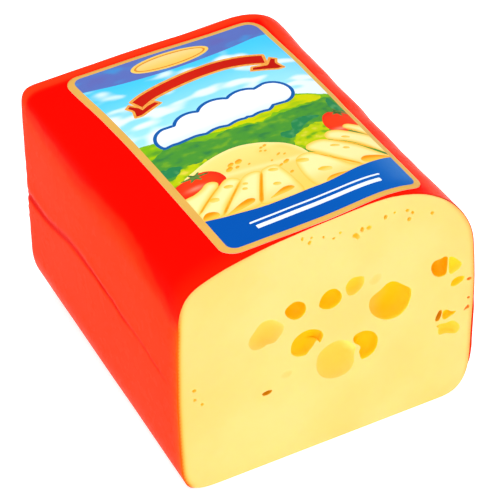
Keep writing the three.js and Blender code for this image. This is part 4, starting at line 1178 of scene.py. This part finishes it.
def art_colour(name, q, hit=None):
    """Printed colour (linear) at label points q for one area; the blue band also carries a painted glint."""
    u, v = q[:, 0] / W, q[:, 1] / D
    n = len(q)
    one = np.ones((n, 1))
    if name == "gold":
        g = 0.5 + 0.5 * noise2(q[:, 0], q[:, 1], 9.0, 101)
        return lin(224, 173, 84) * one * (0.95 + 0.10 * g[:, None])
    if name == "sky":
        t = smooth(0.60, 0.90, v)[:, None]
        base = lin(160, 230, 253) * (1 - t) + lin(70, 202, 252) * t
        c = noise2(q[:, 0], q[:, 1], (15, 5.2, 9), 103) + 0.5 * noise2(q[:, 0], q[:, 1], (6, 2.4, 4), 104)
        low = 0.34 * smooth(0.70, 0.58, v) + 0.30 * smooth(0.16, 0.02, np.abs(v - 0.71)) * smooth(0.30, 0.10, u) \
            + 0.10 * smooth(0.06, 0.0, np.abs(v - 0.855)) * smooth(0.45, 0.8, u)
        k = smooth(0.10, 0.42, c + low)[:, None]
        return base + (lin(238, 248, 255) - base) * k * 0.9
    if name == "indigo":
        c = noise2(q[:, 0], q[:, 1], (10, 6, 9), 105) + 0.4 * noise2(q[:, 0], q[:, 1], (4, 2.5, 4), 106)
        k = smooth(0.05, 0.5, c)[:, None]
        k2 = smooth(0.1, 0.5, -c)[:, None]
        base = lin(92, 112, 188) * one
        base = base + (lin(60, 152, 218) - base) * k * 0.8
        return base + (lin(104, 100, 176) - base) * k2 * 0.6
    if name in ("ribbon", "tail_l", "tail_r"):
        mid = 0.5 + 0.5 * np.cos((u - 0.42) * 9.0)
        base = lin(206, 30, 12) * one
        dark = lin(176, 14, 6)
        k = (1 - mid) * (0.45 if name == "ribbon" else 0.8)
        return base + (dark - base) * k[:, None]
    if name == "oval_gold":
        return lin(248, 204, 96) * one
    if name == "oval_ring":
        return lin(222, 140, 46) * one
    if name == "oval_fill":
        t = smooth(-2.6, 2.6, q[:, 1] - 97.2)[:, None]
        return lin(250, 202, 96) * (1 - t) + lin(244, 214, 138) * t
    if name.endswith("_gold"):
        d = edge_distance(dict(ART)[name], q)[:, None]
        line = np.exp(-((d - 0.55) / 0.16) ** 2)
        base = lin(244, 172, 76) * one
        return base + (lin(206, 92, 30) - base) * line * 0.6
    if name == "hill":
        c = noise2(q[:, 0], q[:, 1], (7, 2.6, 5), 107) + 0.5 * noise2(q[:, 0], q[:, 1], (2.4, 1.2, 2), 108)
        base = lin(124, 186, 22) * one
        base = base + (lin(90, 158, 42) - base) * smooth(0.0, 0.5, c)[:, None]
        return base + (lin(168, 202, 4) - base) * (smooth(0.05, 0.45, -c) * smooth(0.5, 0.1, u))[:, None]
    if name.startswith("teal"):
        c = noise2(q[:, 0], q[:, 1], 1.8, 118)
        base = lin(40, 132, 78) * one
        return base + (lin(84, 160, 96) - base) * smooth(0.0, 0.5, c)[:, None]
    if name == "yellow":
        c = noise2(q[:, 0], q[:, 1], (5, 1.4, 3), 109)
        base = lin(206, 210, 0) * one
        return base + (lin(164, 196, 12) - base) * smooth(0.0, 0.4, c)[:, None]
    if name == "wood":
        c = noise2(q[:, 0], q[:, 1], (6, 3.0, 5), 110) + 0.6 * noise2(q[:, 0], q[:, 1], (2.2, 1.3, 2), 111)
        base = lin(74, 150, 52) * one
        base = base + (lin(52, 128, 66) - base) * smooth(0.05, 0.5, c)[:, None]
        return base + (lin(112, 170, 40) - base) * smooth(0.08, 0.5, -c)[:, None]
    if name.startswith("bush"):
        c = noise2(q[:, 0], q[:, 1], (3.6, 2.4, 3), 112) + 0.5 * noise2(q[:, 0], q[:, 1], (1.6, 1.1, 1.5), 113)
        base = lin(186, 204, 8) * one
        base = base + (lin(228, 212, 70) - base) * smooth(0.05, 0.5, c)[:, None]
        return base + (lin(110, 172, 26) - base) * smooth(0.05, 0.45, -c)[:, None]
    if name == "dome":
        t = smooth(0.30, 0.43, v)[:, None]
        base = lin(253, 212, 112) * (1 - t) + lin(255, 226, 132) * t
        c = smooth(0.2, 0.5, noise2(q[:, 0], q[:, 1], 7.0, 114))[:, None]
        base = base + (lin(252, 198, 78) - base) * c * 0.4
        e = np.exp(-(edge_distance(dome, q) / 1.1) ** 2)[:, None]
        base = base + (lin(255, 238, 172) - base) * e * 0.5
        sh = smooth(0.27, 0.17, v)[:, None]
        return base + (lin(254, 206, 84) - base) * sh * 0.6
    if name.startswith("hole"):
        c = q.mean(0)
        t = smooth(-0.8, 0.8, (q[:, 1] - c[1]))[:, None]
        return lin(250, 196, 60) * (1 - t) + lin(240, 150, 24) * t
    if name.startswith("tomato"):
        lft = name.endswith("l")
        c = np.array([9.0, 36.0]) if lft else np.array([60.5, 41.5])
        r = np.hypot((q[:, 0] - c[0]) / 7.5, (q[:, 1] - c[1]) / 5.6)
        base = lin(250, 60, 22) * one
        base = base + (lin(232, 44, 22) - base) * smooth(0.5, 1.1, r)[:, None]
        g0 = np.array([7.3, 34.9]) if lft else np.array([58.4, 37.6])
        hl_ = np.exp(-(((q[:, 0] - g0[0]) / 2.6) ** 2 + ((q[:, 1] - g0[1]) / 0.8) ** 2))[:, None]
        return base + (lin(255, 150, 120) - base) * hl_ * 0.8
    if name.startswith("leaf"):
        c = noise2(q[:, 0], q[:, 1], 1.4, 115)
        base = lin(96, 132, 60) * one
        return base + (lin(52, 88, 40) - base) * smooth(0.0, 0.4, c)[:, None]
    if name.startswith("roll"):
        d = edge_distance(roll_info[name], q)[:, None]
        base = lin(254, 222, 124) * one
        base = base + (lin(255, 236, 168) - base) * smooth(0.5, 2.1, d) * 0.9
        lo_ = smooth(24.0, 17.0, q[:, 1])[:, None]
        base = base + (lin(252, 200, 76) - base) * lo_ * 0.55
        return base + (lin(250, 190, 62) - base) * np.exp(-(d / 0.55) ** 2) * 0.8
    if name.startswith("seam"):
        d = edge_distance(dict(ART)[name], q)[:, None]
        return lin(248, 188, 62) * one + (lin(240, 146, 10) - lin(248, 188, 62)) * smooth(0.0, 0.4, d)
    if name.startswith("mouth"):
        c = q.mean(0)
        t = smooth(-0.9, 1.0, q[:, 1] - c[1])[:, None]
        return lin(253, 196, 66) * (1 - t) + lin(243, 146, 6) * t
    if name.startswith("spot"):
        c = q.mean(0)
        t = smooth(-0.7, 0.7, (q[:, 1] - c[1]))[:, None]
        return lin(254, 214, 108) * (1 - t) + lin(248, 190, 56) * t
    if name == "blue":
        t = smooth(0.3, 1.0, u)[:, None]
        base = lin(0, 82, 175) * (1 - t) + lin(0, 94, 185) * t
        # painted glint: a paler blue sheen at the band's right end
        glint = (smooth(0.80, 0.97, u) * smooth(0.03, 0.10, v))[:, None]
        return base + (lin(92, 160, 222) - base) * glint * 0.25
    if name.startswith("rule"):
        return lin(236, 244, 252) * one
    if name == "cloud_line":
        return lin(20, 92, 170) * one
    if name == "cloud":
        t = smooth(0.60, 0.545, v)[:, None]
        c = smooth(0.0, 0.5, noise2(q[:, 0], q[:, 1], (7, 4, 5), 117))[:, None]
        base = lin(252, 253, 255) * one
        base = base + (lin(206, 232, 250) - base) * t * 0.75
        return base + (lin(226, 241, 253) - base) * c * 0.5
    return lin(128, 128, 128) * one


def clip_to_label(P, pic):
    """Keeps an outline on the picture by pulling far points near it."""
    lo, hi = np.array([-0.8, -0.8]), np.array([W + 0.8, D + 0.8])
    return np.clip(P, lo, hi)


# triangulate with every printed edge as a constraint
inset = [resample(outline, 330)]
areas = [("gold", outline)] + ART
loops = [resample(outline, 330)]
step_for = {"sky": 0.7, "indigo": 0.9}
for name, P in ART:
    P = np.asarray(P, float)
    per = np.linalg.norm(np.diff(np.vstack([P, P[:1]]), axis=0), axis=1).sum()
    if name == "sky":
        Q = resample(P, 330)
    elif name in ("hill", "wood", "yellow", "indigo", "blue") or name[:4] in ("seam", "bush", "teal"):
        Q = P
    else:
        Q = resample(P, int(max(12, per / 0.55)))
    loops.append(Q)
names = ["gold"] + [n for n, _ in ART]
# outlines that run past the picture are cut off by testing against it
gstep = 0.62
gx, gy = np.meshgrid(np.arange(0.4, W, gstep), np.arange(0.4, D, gstep * 0.87))
gx[1::2] += gstep / 2
pts = np.stack([gx.ravel(), gy.ravel()], 1)
pts = pts[inside(offset2(loops[0], -0.25), pts)]
clipped = [loops[0]]
for L in loops[1:]:
    clipped.append(np.clip(L, [-2.5, -2.5], [W + 2.5, D + 2.5]))
lv, lf, lw = cdt(clipped, pts)
lc = np.array([lv[list(f)].mean(0) for f in lf])
keep = inside(loops[0], lc)
lf = [f for f, k in zip(lf, keep) if k]
lc = lc[keep]
used = np.unique(np.array([i for f in lf for i in f]))
remap = -np.ones(len(lv), int)
remap[used] = np.arange(len(used))
lv = lv[used]
lf = [tuple(int(remap[i]) for i in f) for f in lf]
region = np.zeros(len(lf), int)
pic_loop = clipped[1]
in_pic = inside(pic_loop, lc)
for k in range(1, len(clipped)):
    hitk = inside(clipped[k], lc) & in_pic
    region[hitk] = k
tri = np.array([f for f in lf])
corner = np.zeros((len(tri), 3, 3))
for k in np.unique(region):
    sel = region == k
    q = lv[tri[sel].ravel()]
    corner[sel] = art_colour(names[k], q).reshape(-1, 3, 3)

kind_of = np.zeros(len(lv))
top_t, low_t = 0.22, 0.03


def on_block(q):
    """Label mm to x and distance behind the cut."""
    y = LAB_Y0 + q[:, 1] * (LAB_BACK - LAB_Y0) / D
    u = q[:, 0] / W
    y = y + (0.6 - 1.35 * u) * smooth(30, D, q[:, 1])
    a, b = np.interp(y, *LEFT_EDGE), np.interp(y, *RIGHT_EDGE)
    return a + (b - a) * u - CX, y


def place(q, lift):
    x, y = on_block(q)
    z = crown(x, y)
    e = 0.05
    gx_ = (crown(x + e, y) - crown(x - e, y)) / (2 * e)
    gy_ = (crown(x, y + e) - crown(x, y - e)) / (2 * e)
    n = np.stack([-gx_, -gy_, np.ones(len(q))], 1)
    n /= np.linalg.norm(n, axis=1)[:, None]
    base = np.stack([x, y - HALF, z], 1)
    return base + n * np.broadcast_to(lift, (len(q),))[:, None]


edge_d = edge_distance(loops[0], lv)
lift = top_t - 0.05 * np.exp(-(edge_d / 0.12) ** 2)
top = place(lv, lift)
bottom = place(lv, low_t)
nl = len(lv)
edge_count = {}
for f in lf:
    for a, b in ((f[0], f[1]), (f[1], f[2]), (f[2], f[0])):
        edge_count[(a, b)] = 1
border = [(a, b) for (a, b) in edge_count if (b, a) not in edge_count]
faces = list(lf) + [(c + nl, b + nl, a + nl) for a, b, c in lf] + [(b, a, a + nl, b + nl) for a, b in border]
flat = [False] * (2 * len(lf)) + [True] * len(border)
gold_edge = lin(214, 170, 96)
cor = np.vstack([corner.reshape(-1, 3), np.tile(lin(236, 232, 224), (3 * len(lf), 1)), np.tile(lin(236, 222, 196), (4 * len(border), 1))])
uv = np.vstack([lv, lv]) / np.array([W, D])
uv[nl:] = uv[nl:] * 0.02 + 0.001

mat = Tree("label_print")
tint = mat.attr("tint", True)
fibre = mat.noise(0.9, 3, 0.6)
patch = mat.noise(16, 2, 0.5)
col = mat.mix(mat.ramp(patch, 0.4, 0.7, 0.0, 0.10), tint, (0.96, 0.97, 1.0), "MULTIPLY")
col = mat.mix(mat.ramp(fibre, 0.52, 0.75, 0.0, 0.10), col, (0.90, 0.90, 0.90), "MULTIPLY")
mat.set(Base_Color=col, Roughness=mat.ramp(fibre, 0.3, 0.7, 0.34, 0.46), IOR=1.45)
mat.bsdf.inputs["Specular IOR Level"].default_value = 0.04
mat.set(Normal=mat.bump(mat.noise(11, 2, 0.5), 0.06, 0.4, mat.bump(fibre, 0.008, 0.5)))
label = make("top_label_sheet", np.vstack([top, bottom]), faces, mat.mat, corner=cor, uv=uv, flat=flat)
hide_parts("top_label")
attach(label, "root")

# ------------------------------------------------------------- stage, light
floor_me = bpy.data.meshes.new("floor")
floor_me.from_pydata([(-6, -6, 0), (6, -6, 0), (6, 6, 0), (-6, 6, 0)], [], [(0, 1, 2, 3)])
floor = bpy.data.objects.new("floor", floor_me)
floor.location = (0, 0, -0.00005)
scene.collection.objects.link(floor)
fm = Tree("floor_pale")
fm.set(Base_Color=fm.mix(fm.ramp(fm.noise(400, 2, 0.5), 0.4, 0.6), (0.93, 0.93, 0.93), (0.95, 0.95, 0.95)), Roughness=0.9)
fm.bsdf.inputs["Specular IOR Level"].default_value = 0.1
fm.bsdf.inputs["Emission Color"].default_value = (1, 1, 1, 1)
fm.bsdf.inputs["Emission Strength"].default_value = 0.60
floor_me.materials.append(fm.mat)

world = bpy.data.worlds.new("studio")
scene.world = world
world.use_nodes = True
bg = world.node_tree.nodes["Background"]
bg.inputs["Color"].default_value = (1, 1, 1, 1)
bg.inputs["Strength"].default_value = 0.45


def softbox(name, az, el, dist, size, power, colour=(1, 1, 1), target=(0, -0.01, 0.04)):
    """Large soft lamp at azimuth az (0 = in front of the cut face) and height el."""
    data = bpy.data.lights.new(name, "AREA")
    data.shape = "RECTANGLE"
    data.size, data.size_y = size
    data.energy = power
    data.color = colour
    a, e = math.radians(az), math.radians(el)
    d = Vector((math.sin(a) * math.cos(e), -math.cos(a) * math.cos(e), math.sin(e)))
    ob = bpy.data.objects.new(name, data)
    ob.location = Vector(target) + d * dist
    ob.rotation_euler = d.to_track_quat("Z", "Y").to_euler()
    scene.collection.objects.link(ob)
    return ob


softbox("key_front", -18, 38, 1.5, (1.3, 1.0), 5.8)
softbox("side_left", -92, 22, 1.5, (1.1, 0.9), 7.8)
softbox("overhead", 20, 84, 1.6, (1.5, 1.5), 13.6)
softbox("side_right", 70, 30, 1.6, (1.0, 0.9), 3.4)

scene.view_settings.view_transform = "Standard"
scene.view_settings.look = "None"
scene.view_settings.exposure = 0.0
scene.view_settings.gamma = 1.0

# ------------------------------------------------------------------- camera
az, el, roll = math.radians(-28.1773), math.radians(38.9354), math.radians(-0.9082)
target = Vector((-26.158, -55.4, 85.455))
back = Vector((math.sin(az) * math.cos(el), -math.cos(az) * math.cos(el), math.sin(el)))
pos = target + back * 837.4
fwd = -back
right = fwd.cross(Vector((0, 0, 1))).normalized()
up = right.cross(fwd)
r2 = right * math.cos(roll) + up * math.sin(roll)
u2 = -right * math.sin(roll) + up * math.cos(roll)
cam_data = bpy.data.cameras.new("camera")
cam_data.sensor_fit = "HORIZONTAL"
cam_data.sensor_width = 36.0
cam_data.lens = 36.0 * 2947.87 / 500.0
cam_data.clip_start, cam_data.clip_end = 0.01, 50.0
cam = bpy.data.objects.new("camera", cam_data)
rot = Matrix((r2, u2, back)).transposed().to_4x4()
cam.matrix_world = Matrix.Translation(pos * MM) @ rot
scene.collection.objects.link(cam)
scene.camera = cam

bpy.context.view_layer.update()
